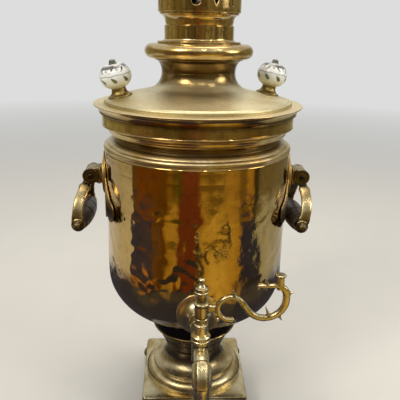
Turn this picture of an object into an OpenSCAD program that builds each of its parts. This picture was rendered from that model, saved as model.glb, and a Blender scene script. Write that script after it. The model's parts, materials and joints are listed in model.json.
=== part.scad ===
// Charcoal samovar: a spun brass urn on a square footed base, with a lift-off lid and
// teapot crown, a central fire tube, a plug tap with a scroll key and two drop handles.
// Millimetres. Origin on the urn's axis, at the floor under the feet. +Z up, tap at -Y.

/* [Base] */
// Side of the square base plate
plate_side = 112; // [100:1:130]
// Thickness of the base plate
plate_t = 5; // [3:0.5:8]
// Corner radius of the base plate
plate_corner_r = 4; // [2:0.5:8]
// Radius of the air hole through the base plate
plate_hole_r = 24; // [16:1:27]
// Height of the cast feet under the plate
foot_h = 20; // [14:1:28]
// Radius of a foot at its bulge
foot_r = 10.5; // [8:0.5:12]
// Distance from the plate's side to a foot's axis
foot_inset = 6; // [4:0.5:12]

/* [Pedestal] */
// Margin of the plate outside the round skirt
skirt_in = 2.2; // [1:0.1:5]
// Height of the skirt
skirt_h = 13; // [11:0.5:16]
// Radius of the skirt's rounded edge
skirt_round_r = 8; // [5:0.5:9]
// Margin of the skirt's top seat outside the stem
stem_seat = 0.2; // [0.1:0.1:1]
// Height of the waisted stem
stem_h = 27; // [24:1:34]
// Radius of the stem at its waist
stem_r = 30; // [26:0.5:33]
// Radius of the flare at the foot of the stem
stem_flare_r = 15; // [12:0.5:16]

/* [Fire drum] */
// Height of the bowl under the drum
bowl_h = 21; // [16:1:26]
// Radius of the bowl's lower neck
bowl_neck_r = 33; // [31:0.5:36]
// How far the ring edge stands out of the bowl's neck
bowl_edge = 3.5; // [2:0.1:5]
// Radius of the vented drum
drum_r = 44.6; // [42:0.2:48]
// Height of the vented drum
drum_h = 24; // [18:1:30]
// How far the bright bead stands out of the drum
drum_bead = 1; // [0.6:0.1:1.6]
// Number of air vents round the drum
vent_count = 12; // [8:1:14]
// Width of a vent's round head
vent_w = 5; // [4.4:0.2:7]
// Height of a vent
vent_h = 8.5; // [7.5:0.5:12]

/* [Body] */
// Radius of the urn
body_r = 92; // [86:0.5:98]
// Height of the rounded lower part of the urn
belly_h = 45; // [38:1:52]
// Height of the straight wall
wall_h = 130; // [110:1:160]
// Thickness of the spun brass
wall_t = 1.6; // [1.2:0.1:2]
// Radius of the rounded shoulder
shoulder_r = 10; // [8:0.5:12]
// Height of the shoulder piece
shoulder_h = 12.5; // [12.2:0.1:15]
// Height of the ogee under the band
ogee_h = 13; // [10:0.5:16]
// How far the upright band stands out of the urn's wall
band_out = 2.1; // [0.5:0.1:5]
// Height of the upright band
band_h = 11.5; // [8:0.5:15]
// How far the top ring stands out of the band
ring_out = 7.1; // [5:0.1:10]
// Height of the top ring
ring_h = 8; // [6:0.5:10]
// Width of the ring's seat inside the band's face
ring_in = 14.1; // [12:0.1:18]

/* [Fire tube] */
// Ledge of the urn's floor outside the tube
tube_ledge = 4.6; // [3:0.1:7]
// Height of the straight lower stretch of the tube
tube_low_h = 40; // [30:1:60]
// Outer radius of the tube at the chimney
tube_top_r = 24.5; // [21:0.1:26]
// Height of the tapered stretch of the tube
tube_taper_h = 150; // [120:1:160]
// Ledge of the urn's floor inside the tube's outer face
fire_ledge = 5; // [3:0.5:8]
// Thickness of the cast grate
grate_t = 3; // [2:0.5:5]
// Width of a slot in the grate
grate_slot = 4.5; // [4.2:0.1:6]

/* [Lid] */
// Margin of the top ring outside the lid
lid_in = 10.2; // [8:0.1:13]
// Depth of the lid's upright lip
lid_lip = 3.5; // [2.5:0.1:5]
// Slope of the lid in degrees
lid_slope = 12.2; // [9:0.1:15]
// How far the waist lies inside the torus's circle
waist_in = 9.6; // [7:0.1:10.4]
// Radius of the sweep from lid to waist
waist_sweep_r = 17; // [13:0.5:21]
// Height from the waist to the torus
neck_rise = 12.8; // [11:0.2:16]
// Radius of the torus section
torus_r = 6.5; // [5:0.1:7]
// How far the torus's circle lies outside the flange
torus_out = 5.6; // [4:0.1:7]
// How far the flange on the torus stands out of the collar
flange_out = 6.7; // [4:0.1:9]
// Thickness of the flange
flange_t = 2.2; // [1.6:0.1:3]
// Radial thickness of the crown's spigot in the collar
spigot_t = 2.5; // [1.6:0.1:4]
// Height of the collar
collar_h = 14.4; // [11:0.2:18]
// Depth of the ring that drops into the mouth
lid_ring_drop = 8; // [6:0.5:12]
// Play of the loose lid and crown
loose_fit = 0.4; // [0.3:0.05:0.8]

/* [Lid knobs] */
// Turn of the lid seen from above, in degrees
lid_turn = 12; // [0:1:30]
// Distance of the left knob's stud inside the lid's ring
knob_left_in = 2.5; // [2.5:0.5:12]
// Distance of the right knob's stud inside the lid's ring
knob_right_in = 6; // [2.5:0.5:12]
// Width of the nuts under the lid, across their flats
nut_flats = 5; // [4.6:0.1:5]
// Radius of the porcelain knob
knob_r = 15; // [13:0.5:17]
// Height of the porcelain knob
knob_h = 23; // [20:0.5:24]
// Height of the flared brass base
knob_base_h = 8.2; // [6:0.5:12]
// Radius of the flared base at the lid
knob_base_r = 11.6; // [9:0.2:13]
// Radius of the flared base under the porcelain
knob_neck_r = 6.8; // [5.6:0.2:8]
// Radius of the stud through a knob
knob_stud_r = 1.6; // [1.2:0.1:2.4]
// Height of the nut on a knob
knob_nut_h = 4.2; // [3:0.2:6]

/* [Steam vent] */
// Distance of the steam vent from the lid's edge
steam_in = 28; // [22:0.5:32]
// Radius of the vent's seat
steam_seat_r = 6.4; // [6:0.1:8]
// Height of the vent's seat over the lid
steam_seat_h = 5; // [4:0.5:8]
// Radius of the steam hole
steam_hole_r = 3.2; // [2.5:0.1:3.8]

/* [Crown] */
// How far the pierced gallery stands out of the collar
crown_out = 5.9; // [4:0.1:9]
// Height of the pierced gallery
gallery_h = 35; // [30:0.5:42]
// Height of the cup under the gallery
cup_h = 11.2; // [10:0.2:15]
// Margin of the collar outside the cup's foot
cup_foot_in = 1.3; // [0.2:0.1:2]
// Gap between the chimney cap and the hole in the cup's floor
cup_play = 2.9; // [2:0.1:4]
// Radius of the rolled rim
crown_rim_r = 1.4; // [1:0.1:2]
// Number of groups of pierced holes
pierce_groups = 3; // [2:1:3]
// Angle between the holes of one group, in degrees
pierce_step = 27; // [25:1:30]
// Height of a pierced hole
pierce_h = 22; // [16:0.5:24]
// Width of the large pierced hole
pierce_w = 8.6; // [6:0.2:10]

/* [Chimney cap] */
// Height of the chimney's mouth over the collar
chimney_rise = 9; // [6:0.5:14]
// How far the cap stands out over the chimney
cap_over = 1; // [0.6:0.1:1.6]
// Depth of the cap's plug in the chimney
cap_plug_h = 5; // [3:0.5:8]
// Thickness of the cap
cap_t = 1.8; // [1.2:0.1:3]
// Height of the knob on the cap
cap_knob_h = 11; // [8:0.5:14]

/* [Tap] */
// Height of the tap's axis over the drum
tap_z = 38; // [33:0.5:40]
// Distance of the plug's axis from the urn's wall
plug_out = 54; // [48:0.5:64]
// Outer radius of the tap's barrel
barrel_r = 7.5; // [6.5:0.1:9]
// Radius of the waterway
water_r = 4; // [3:0.1:4.4]
// Radius of the flared rosette
rosette_r = 20.5; // [16:0.5:22]
// Depth of the flare of the rosette
rosette_depth = 12; // [9:0.5:16]
// Outer radius of the plug's housing
housing_r = 7.4; // [7.2:0.1:9]
// Height of the housing over the tap's axis
housing_up = 14; // [12:0.5:17]
// Depth of the housing under the tap's axis
housing_down = 12; // [10:0.5:15]
// Height of the bands round the housing
housing_band_h = 4; // [3:0.1:5]
// How far the bands stand out of the housing
housing_band = 0.6; // [0.4:0.1:1]
// Radius of the plug at the housing's top
plug_top_r = 5.6; // [5:0.1:6]
// Radius of the plug at the housing's bottom
plug_low_r = 4.8; // [4.6:0.1:5]
// Running clearance of turning and hinged pieces
run_fit = 0.05; // [0.03:0.01:0.08]
// Horizontal reach of the spout from the plug
spout_reach = 30; // [26:0.5:36]
// Radius of the spout's bend
spout_bend_r = 17; // [14:0.5:18]
// Outer radius of the spout
spout_r = 6.3; // [5.4:0.1:7]
// Length of the spout under its bend
spout_drop = 18; // [12:0.5:28]
// Radius of the spout's thick elbow
elbow_r = 7.9; // [7.2:0.1:9]
// Width of the raised rib over the bend
spout_rib_w = 9; // [6:0.5:11]

/* [Tap key] */
// Height of the plug's shank over the housing
shank_h = 14; // [12:0.5:20]
// Height of the key's collar
key_collar_h = 15.5; // [14:0.5:20]
// Radius of the key's collar
key_collar_r = 5.5; // [5:0.1:7]
// Thickness of the flat cast scroll
key_t = 5; // [4:0.2:7]
// Width of the scroll's strap
strap_w = 4.4; // [3.5:0.1:5]
// Middle radius of the scroll's first curl
curl_r = 10.4; // [9:0.1:11.5]
// Middle radius of the scroll's wide bow
bow_r = 17; // [15:0.1:19]
// Middle radius of the scroll's upper hook
hook_r = 9.3; // [8:0.1:11]
// Distance from the first curl's centre to the bow's centre
bow_dx = 27.5; // [26:0.1:32]
// Rise from the first curl's centre to the bow's centre
bow_dz = 8.4; // [6:0.1:11]
// Height of the post with the thumb disc over the hook's centre
post_h = 19; // [15:0.5:24]
// Radius of the thumb disc
thumb_r = 4.5; // [3.5:0.1:6]
// Height of the plug's finial
finial_h = 21; // [17:0.5:25]
// Radius of the finial's rim
finial_r = 5.9; // [5:0.1:7]

/* [Handles] */
// Depth of the handle pins below the top of the straight wall
pin_below = 28; // [26:1:40]
// Radius of a handle pin
pin_r = 2.6; // [2:0.1:3.2]
// Half height of the bracket's tongue
tongue_r = 7.6; // [6.5:0.1:8.5]
// Width of the bracket's tongue, front to back
tongue_w = 19; // [14:0.5:22]
// Thickness of the bands across the bracket
bracket_band = 1.2; // [0.8:0.1:2]
// Radius of the flared boss on the shield
mount_r = 20; // [16:0.5:22]
// How far the boss stands out of the urn
mount_rise = 5; // [4:0.1:5.4]
// Thickness of the handle's shield
shield_t = 1.6; // [1.2:0.1:2.4]
// Half width of the handle's shield
shield_half_w = 50; // [42:0.5:54]
// Reach of the shield below the pin
shield_low = 41; // [34:0.5:46]
// Reach of the shield above the pin
shield_high = 25; // [22:0.5:27]
// Radius of an arm's eye
eye_r = 8; // [7:0.1:9]
// Gap between an arm's eye and the bracket's band
eye_gap = 0.2; // [0.2:0.1:2]
// Gap between an arm and the bracket's tongue
side_play = 0.3; // [0.2:0.1:1]
// Thickness of an arm
arm_t = 3.4; // [2.6:0.1:4.2]
// Width of an arm
arm_w = 11; // [9:0.2:12]
// Distance from the pin down to the grip's axis
drop = 43; // [40:0.5:50]
// Distance between the arms' middles at the grip
arm_span = 76; // [70:0.5:84]
// How far the arms bow away from the urn
arm_bow = 3.6; // [2:0.1:5]
// Radius of the grip at its middle
grip_r = 11; // [9:0.1:12]
// Radius of the grip at its ends
grip_end_r = 7.2; // [6:0.1:8]
// Depth of an arm's boss between the arm and the grip
boss_in = 1.6; // [1:0.1:3]
// How far an arm's boss stands out past the arm
boss_over = 0.6; // [0.4:0.1:2]
// Radius of the rod through the grip
rod_r = 2; // [1.6:0.1:2.6]
// Lean of the left handle away from the urn, in degrees
left_lean = 13; // [0:0.5:20]
// Gap between the right grip and the urn
grip_rest_gap = 0.4; // [0.3:0.1:1]

/* [Hidden] */
$fn = 96;
eps = 0.01;
brass = [0.72, 0.56, 0.26];
dull_brass = [0.62, 0.52, 0.34];
dark_bronze = [0.24, 0.19, 0.14];
aged_bronze = [0.36, 0.30, 0.16];
porcelain = [0.93, 0.91, 0.84];
dark_wood = [0.16, 0.10, 0.07];
iron = [0.25, 0.25, 0.26];

// Radii that follow from one another, from the foot up
skirt_r = plate_side / 2 - skirt_in;
skirt_top_r = stem_r + stem_flare_r + stem_seat;
bowl_edge_r = bowl_neck_r + bowl_edge;
tube_low_r = drum_r - tube_ledge;
fire_hole_r = tube_low_r - fire_ledge;
band_r = body_r + band_out;
ring_r = band_r + ring_out;
mouth_r = band_r - ring_in;
lid_r = ring_r - lid_in;
cap_r = tube_top_r + cap_over;
cup_hole_r = cap_r + cup_play;
spigot_r = cup_hole_r + spigot_t;
collar_r = spigot_r + loose_fit + wall_t;
flange_r = collar_r + flange_out;
torus_ring_r = flange_r + torus_out;
waist_r = torus_ring_r - waist_in;
cup_foot_r = collar_r - cup_foot_in;
crown_r = collar_r + crown_out;
lid_ring_r = mouth_r - loose_fit;
knob_left_d = lid_ring_r - wall_t - knob_left_in;
knob_right_d = lid_ring_r - wall_t - knob_right_in;
steam_d = lid_r - steam_in;
plug_d = body_r + plug_out;

// Heights of the seams, from the floor up
z_plate = foot_h + plate_t;
z_skirt = z_plate + skirt_h;
z_stem = z_skirt + stem_h;
z_bowl = z_stem + bowl_h;
z_drum = z_bowl + drum_h;
z_belly = z_drum + belly_h;
z_wall = z_belly + wall_h;
z_shoulder = z_wall + shoulder_h;
z_ogee = z_shoulder + ogee_h;
z_band = z_ogee + band_h;
z_ring = z_band + ring_h;

// Lid: where the sweep meets the cone, the waist, the torus and the collar
lid_edge_r = lid_r - 0.6;
sweep_r = waist_r + waist_sweep_r * (1 - sin(lid_slope));
z_lip = z_ring + lid_lip;
z_sweep = z_lip + (lid_edge_r - sweep_r) * tan(lid_slope);
z_waist = z_sweep + waist_sweep_r * cos(lid_slope);
z_torus = z_waist + neck_rise + torus_r;
z_flange = z_torus + torus_r + flange_t;
z_collar = z_flange + collar_h;
z_cup = z_collar + cup_h;
z_gallery = z_cup + gallery_h;
z_chimney = z_collar + chimney_rise;
floor_t = wall_t;

// Tap
z_tap = z_drum + tap_z;
z_house_top = z_tap + housing_up;
z_house_low = z_tap - housing_down;
z_key = z_house_top + shank_h;
z_finial = z_key + key_collar_h;
tang_r = plug_low_r - 1.6;
finial_stud_r = tang_r - 1;
// How deep the rosette's back must reach to follow the urn's rounded underside
rosette_drop = max(0, z_belly - z_tap + rosette_r);
rosette_seat = (body_r - drum_r) * (1 - sqrt(1 - pow(rosette_drop / belly_h, 2))) + 1;
spout_seam = spout_reach - spout_bend_r;

// Handles
z_pin = z_wall - pin_below;
mount_x = body_r + mount_rise;
pin_d = mount_x + bracket_band + eye_gap + eye_r;
right_lean = -asin((pin_d - body_r - grip_r - grip_rest_gap) / drop);
arm_in = tongue_w / 2 + side_play;
arm_mid = arm_in + arm_t / 2;
side_a = arm_span / 2 - arm_mid;
side_b = drop - eye_r;
side_r = (side_a * side_a + side_b * side_b) / (2 * side_a);
front_r = (drop * drop / 4 + arm_bow * arm_bow) / (2 * arm_bow);
boss_r = grip_end_r - boss_over;
grip_half = arm_span / 2 - arm_t / 2 - boss_in;
boss_out = arm_span / 2 + arm_t / 2 + boss_over;

// ---- helpers ----
function turn_round(v) = [for (i = [len(v) - 1:-1:0]) v[i]];
function arc_pts(c, r, a0, a1, n) = [for (i = [0:n]) let (a = a0 + (a1 - a0) * i / n)
    [c[0] + r * cos(a), c[1] + r * sin(a)]];
function oval_pts(c, rx, rz, a0, a1, n) = [for (i = [0:n]) let (a = a0 + (a1 - a0) * i / n)
    [c[0] + rx * cos(a), c[1] + rz * sin(a)]];
function left_of(a, b) = let (d = (b - a) / norm(b - a)) [-d[1], d[0]];
// A line moved t to its left, with its two ends kept level with the first line's ends
function inset_pts(p, t) = [for (i = [0:len(p) - 1])
    i == 0 ? p[0] + [t / left_of(p[0], p[1])[0], 0]
    : i == len(p) - 1 ? p[i] + [t / left_of(p[i - 1], p[i])[0], 0]
    : let (m = left_of(p[i - 1], p[i]), n = left_of(p[i], p[i + 1]), s = (m + n) / norm(m + n))
        p[i] + s * t / (s * m)];

// Spins an outline about Z
module spin(pts) {
    rotate_extrude() polygon(pts);
}

// ---- base and pedestal ----
module feet() {
    at = plate_side / 2 - foot_inset;
    color(dull_brass) for (x = [-at, at], y = [-at, at]) translate([x, y, 0])
        spin(concat([[0, 0], [foot_r * 0.7, 0]],
            arc_pts([foot_r - foot_h * 0.3, foot_h * 0.42], foot_h * 0.3, -62, 62, 8),
            [[foot_r * 0.55, foot_h * 0.86], [foot_r * 0.6, foot_h], [0, foot_h]]));
}

module plate_outline() {
    inner = plate_side - 2 * plate_corner_r;
    square([plate_side, inner], center = true);
    square([inner, plate_side], center = true);
    for (x = [-inner / 2, inner / 2], y = [-inner / 2, inner / 2])
        translate([x, y]) circle(r = plate_corner_r);
}

module base_plate() {
    color(dull_brass) translate([0, 0, foot_h]) linear_extrude(plate_t) difference() {
        plate_outline();
        circle(r = plate_hole_r);
    }
}

module pedestal_skirt() {
    lip = 1.4;
    round_r = min(skirt_round_r, skirt_r - skirt_top_r - 0.6, skirt_h - lip - 1);
    edge = skirt_r - round_r;
    outer = concat([[skirt_r, 0], [skirt_r, skirt_h - lip - round_r]],
        arc_pts([edge - 0.4, skirt_h - lip - round_r], round_r, 0, 84, 8),
        [[skirt_top_r, skirt_h - lip], [skirt_top_r, skirt_h]]);
    seat = skirt_top_r - 3.5;
    inner = [[seat, skirt_h], [seat, skirt_h - lip - wall_t],
        [edge, skirt_h - lip - wall_t], [skirt_r - wall_t, skirt_h - lip - round_r],
        [skirt_r - wall_t, 0]];
    color(dull_brass) translate([0, 0, z_plate]) spin(concat(outer, inner));
}

module pedestal_stem() {
    toe = 1.6;
    top_flare = 5;
    outer = concat([[stem_r + stem_flare_r, 0], [stem_r + stem_flare_r, toe]],
        arc_pts([stem_r + stem_flare_r, toe + stem_flare_r], stem_flare_r, 260, 180, 10),
        [[stem_r, stem_h - top_flare], [bowl_neck_r, stem_h]]);
    inner = concat([[bowl_neck_r - wall_t, stem_h], [stem_r - wall_t, stem_h - top_flare]],
        arc_pts([stem_r + stem_flare_r, toe + stem_flare_r], stem_flare_r + wall_t, 180, 250, 8),
        [[stem_r + stem_flare_r - 6, 0]]);
    color(dull_brass) translate([0, 0, z_skirt]) spin(concat(outer, inner));
}

// ---- fire drum ----
module drum_bowl() {
    step = bowl_h * 0.4;
    edge = 1.2;
    rim = drum_r - 3;
    outer = concat([[bowl_neck_r, 0], [bowl_edge_r - edge, step - edge], [bowl_edge_r, step - edge],
        [bowl_edge_r, step]], arc_pts([rim - 12, bowl_h], 12, -42, 0, 6));
    color(dark_bronze) translate([0, 0, z_stem]) difference() {
        spin(concat([[0, 0]], outer, [[0, bowl_h]]));
        spin(concat([[0, wall_t + 1], [bowl_neck_r - wall_t, wall_t + 1],
            [bowl_edge_r - edge - wall_t, step]],
            arc_pts([rim - 12, bowl_h], 12 - wall_t, -42, 0, 6), [[rim - wall_t, bowl_h + 1],
            [0, bowl_h + 1]]));
    }
}

module vent_cut() {
    head = vent_w / 2;
    low = (drum_h - vent_h) / 2;
    rotate([90, 0, 0]) linear_extrude(drum_r + 5) {
        translate([0, low + vent_h - head]) circle(r = head, $fn = 32);
        polygon([[-head * 0.8, low + vent_h - head * 1.4], [head * 0.8, low + vent_h - head * 1.4],
            [head * 0.55, low], [-head * 0.55, low]]);
    }
}

module vent_drum() {
    first = 13.5;
    color(dark_bronze) translate([0, 0, z_bowl]) difference() {
        spin([[drum_r, 0], [drum_r, drum_h], [drum_r - 3, drum_h], [drum_r - 3, drum_h - wall_t],
            [drum_r - wall_t, drum_h - wall_t - 1], [drum_r - wall_t, wall_t + 1],
            [drum_r - 3.6 - wall_t, wall_t], [drum_r - 3.6 - wall_t, 0]]);
        for (i = [0:vent_count - 1]) rotate([0, 0, first + i * 360 / vent_count]) vent_cut();
    }
}

module drum_bead_ring() {
    color(brass) translate([0, 0, z_bowl]) spin([[drum_r + run_fit, 0],
        [drum_r + drum_bead, 0.4], [drum_r + drum_bead, 1.4], [drum_r + run_fit, 1.8]]);
}

// ---- urn ----
// Outer line of the urn's wall from the drum up to the shoulder seam
function belly_pts(extra) = oval_pts([drum_r, z_belly], body_r - drum_r + extra,
    belly_h + extra, -90, 0, 20);

// The urn's envelope, grown by extra, used to seat what is soldered on it
module urn_envelope(extra) {
    spin(concat([[0, z_drum - extra]], belly_pts(extra), [[body_r + extra, z_wall], [0, z_wall]]));
}

module body_shell() {
    inner = oval_pts([drum_r, z_belly], body_r - drum_r - wall_t, belly_h - wall_t, 0, -90, 20);
    color(brass) difference() {
        spin(concat([[fire_hole_r, z_drum]], belly_pts(0), [[body_r, z_wall],
            [body_r - wall_t, z_wall]], inner, [[fire_hole_r, z_drum + floor_t]]));
        translate([0, 0, z_tap]) rotate([90, 0, 0]) cylinder(r = water_r, h = body_r + 1);
    }
}

module body_shoulder() {
    roll = 3.35;
    groove = 2;
    arc_h = shoulder_h - groove;
    outer = concat([[body_r, 0], [body_r, 0.5]],
        oval_pts([body_r - 2.5, roll], roll, roll - 0.25, -40, 84, 9),
        [[body_r - 3.2, roll * 2 - 0.2], [body_r - 3.5, roll * 2 + 0.1]],
        oval_pts([body_r - shoulder_r, arc_h - 6], shoulder_r - 2.6, 6, 28, 84, 7),
        [[body_r - shoulder_r, arc_h], [body_r - shoulder_r, shoulder_h]]);
    inner = concat([[body_r - shoulder_r - wall_t, shoulder_h],
        [body_r - shoulder_r - wall_t, arc_h - wall_t]],
        oval_pts([body_r - shoulder_r, 1.6], shoulder_r - wall_t, arc_h - 1.6 - wall_t, 84, 0, 8),
        [[body_r - wall_t, 0]]);
    color(brass) translate([0, 0, z_wall]) spin(concat(outer, inner));
}

module neck_band() {
    low_r = body_r - shoulder_r;
    mid = [(low_r + band_r) / 2, ogee_h * 0.5];
    bead = 0.9;
    turn = ogee_h + band_h;
    outer = concat([[low_r, 0], [low_r, 0.4]],
        oval_pts([low_r + 0.1, 0.6 + bead], bead + 0.2, bead, -70, 80, 5),
        oval_pts([low_r + 0.4, 2.4 + ogee_h * 0.43], mid[0] - low_r - 0.4, ogee_h * 0.43, -84, -12, 5),
        oval_pts([band_r - 0.4, mid[1] + 0.6], band_r - mid[0] - 0.4, ogee_h * 0.5 - 2, 176, 104, 5),
        oval_pts([band_r - bead, ogee_h], bead, bead, -90, 60, 5),
        [[band_r - 0.45, ogee_h + 1.4], [band_r - 0.45, turn - 1.8]],
        oval_pts([band_r - bead, turn - bead], bead, bead - 0.1, -60, 80, 5),
        [[band_r - bead, turn]]);
    inner = [[band_r - wall_t - 0.3, turn], [band_r - wall_t - 0.3, ogee_h + wall_t],
        [mid[0] - wall_t * 0.6, mid[1] + wall_t * 1.3], [low_r - wall_t, wall_t + 0.8],
        [low_r - wall_t, 0]];
    color(brass) translate([0, 0, z_ogee - ogee_h]) spin(concat(outer, inner));
}

module top_ring() {
    rim_t = 1;
    color(brass) translate([0, 0, z_band]) spin(concat(
        [[band_r - wall_t, 0], [band_r + 2.2, 0]],
        oval_pts([ring_r, 0], ring_r - band_r - 2.2, ring_h - rim_t, 170, 100, 6),
        [[ring_r, ring_h - rim_t], [ring_r, ring_h - 0.3], [ring_r - 0.3, ring_h],
        [mouth_r, ring_h], [mouth_r, ring_h - wall_t], [band_r - wall_t, ring_h - wall_t]]));
}

// ---- fire tube ----
module fire_tube() {
    low = z_drum + floor_t;
    top = z_chimney;
    out = [[tube_low_r, low], [tube_low_r, low + tube_low_h],
        [tube_top_r, low + tube_low_h + tube_taper_h], [tube_top_r, top]];
    color(dull_brass) spin(concat(out, turn_round(inset_pts(out, wall_t))));
}

module fire_grate() {
    r = tube_low_r - wall_t - 0.3;
    pitch = grate_slot * 2;
    rows = floor((fire_hole_r - 8) / pitch);
    color(iron) translate([0, 0, z_drum + floor_t]) linear_extrude(grate_t) difference() {
        circle(r = r);
        for (i = [-rows:rows])
            translate([i * pitch, 0])
                square([grate_slot, 2 * sqrt(pow(fire_hole_r - 3, 2) - pow(i * pitch, 2))],
                    center = true);
    }
}

// ---- tap ----
module on_tap_axis() {
    translate([0, -plug_d, 0]) children();
}

// Flared rosette soldered to the urn, seated on the urn's own curve
module flare(r, neck_r, depth, bore_r, seat) {
    edge = 1.2;
    rotate_extrude() polygon(concat([[bore_r, -seat], [r, -seat], [r, edge + 3]],
        oval_pts([r, depth + 3], r - neck_r - 1, depth - edge - 1, 268, 184, 8),
        [[neck_r + 1, depth + 3], [neck_r + 1, depth + 5], [bore_r, depth + 5]]));
}

module tap_rosette() {
    color(brass) difference() {
        translate([0, 3 - body_r, z_tap]) rotate([90, 0, 0])
            flare(rosette_r, barrel_r, rosette_depth, barrel_r + run_fit, rosette_seat);
        urn_envelope(run_fit);
    }
}

module tap_body() {
    color(brass) difference() {
        union() {
            difference() {
                translate([0, -plug_d, z_tap]) rotate([-90, 0, 0])
                    cylinder(r = barrel_r, h = plug_d - body_r * 0.9);
                urn_envelope(run_fit);
            }
            on_tap_axis() translate([0, 0, z_house_low]) spin([[0, 0], [housing_r - 1.2, 0],
                [housing_r, 1.2], [housing_r, housing_down + housing_up - 3],
                [housing_r + housing_band, housing_down + housing_up - 2.6],
                [housing_r + housing_band, housing_down + housing_up - 1],
                [housing_r - 0.2, housing_down + housing_up], [0, housing_down + housing_up]]);
            on_tap_axis() translate([0, 0, z_house_top - 2 * housing_band_h]) spin([[0, 0],
                [housing_r, 0], [housing_r + housing_band, housing_band],
                [housing_r + housing_band, housing_band_h - housing_band],
                [housing_r, housing_band_h], [0, housing_band_h]]);
            translate([0, -plug_d, z_tap]) rotate([90, 0, 0]) cylinder(r = spout_r, h = spout_seam);
        }
        on_tap_axis() translate([0, 0, z_house_low - eps]) cylinder(r1 = plug_low_r + run_fit,
            r2 = plug_top_r + run_fit, h = housing_down + housing_up + 2 * eps);
        translate([0, -plug_d, z_tap]) rotate([-90, 0, 0]) cylinder(r = water_r, h = plug_d);
        translate([0, -plug_d, z_tap]) rotate([90, 0, 0])
            cylinder(r = water_r, h = spout_seam + 1);
    }
}

module spout_bend(r, a0, a1) {
    mirror([0, 1, 0]) rotate([a0, 0, 0]) rotate([90, 0, 90]) rotate_extrude(angle = a1 - a0)
        translate([spout_bend_r, 0]) circle(r = r, $fn = 48);
}

module tap_spout() {
    lip_h = 3;
    from = 10;
    to = 64;
    corner = [0, -plug_d - spout_seam, z_tap - spout_bend_r];
    color(brass) difference() {
        union() {
            translate(corner) spout_bend(spout_r, 0, 90);
            translate(corner) spout_bend(elbow_r, from, to);
            translate(corner) mirror([0, 1, 0]) rotate([from - 4, 0, 0]) rotate([90, 0, 90])
                rotate_extrude(angle = to - from + 8) translate([spout_bend_r, -spout_rib_w / 2])
                    square([elbow_r + 0.9, spout_rib_w]);
            translate(corner + [0, -spout_bend_r, -spout_drop]) {
                cylinder(r = spout_r, h = spout_drop);
                cylinder(r = spout_r + 0.8, h = lip_h);
            }
        }
        translate(corner) spout_bend(water_r, 0, 90);
        translate(corner + [0, -spout_bend_r, -spout_drop - 1])
            cylinder(r = water_r, h = spout_drop + 1 + eps);
    }
}

module tap_plug() {
    h = housing_down + housing_up;
    neck = plug_top_r - 0.9;
    color(brass) on_tap_axis() difference() {
        translate([0, 0, z_house_low]) spin([[0, -1], [plug_low_r - 0.5, -1],
            [plug_low_r, 0], [plug_top_r, h], [plug_top_r, h + 0.4], [plug_top_r - 0.3, h + 7],
            [plug_top_r + 0.3, h + 8], [plug_top_r + 0.3, h + 9.4], [neck, h + 10.4],
            [neck, h + shank_h - 1.6], [plug_top_r, h + shank_h], [tang_r, h + shank_h],
            [tang_r, h + shank_h + key_collar_h],
            [finial_stud_r, h + shank_h + key_collar_h],
            [finial_stud_r, h + shank_h + key_collar_h + finial_h * 0.5],
            [0, h + shank_h + key_collar_h + finial_h * 0.5]]);
        translate([0, 0, z_tap]) rotate([0, 90, 0])
            cylinder(r = water_r - 0.6, h = 4 * plug_top_r, center = true);
    }
}

// ---- tap key: flat scroll of three tangent arcs in the X-Z plane ----
curl_c = [key_collar_r + 5.6 + curl_r + strap_w / 2 - 0.1, 9.2];
bow_c = curl_c + [bow_dx, bow_dz];
hook_c = bow_c + [bow_r - hook_r, 3];
link_d = norm([bow_dx, bow_dz]);
link_a = atan2(bow_dz, bow_dx) - asin((curl_r + bow_r) / link_d);
curl_t = curl_c + curl_r * [cos(link_a + 90), sin(link_a + 90)];
bow_t = bow_c - bow_r * [cos(link_a + 90), sin(link_a + 90)];
post_c = hook_c + [hook_r - 5.4, 0];
post_w = strap_w * 1.4;

module sector(r, a0, a1) {
    polygon(concat([[0, 0]], [for (i = [0:8]) let (a = a0 + (a1 - a0) * i / 8)
        1.5 * r * [cos(a), sin(a)]]));
}

module strap_arc(c, r, w, a0, a1) {
    translate(c) intersection() {
        difference() {
            circle(r = r + w / 2);
            circle(r = r - w / 2);
        }
        sector(r + w, a0, a1);
    }
}

module strap_line(a, b, wa, wb) {
    n = left_of(a, b);
    polygon([a + n * wa / 2, a - n * wa / 2, b - n * wb / 2, b + n * wb / 2]);
}

// A thorn: a small tapered point that grows out of the strap
module thorn(base, tip, w) {
    strap_line(base, tip, w, 0.6);
}

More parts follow.
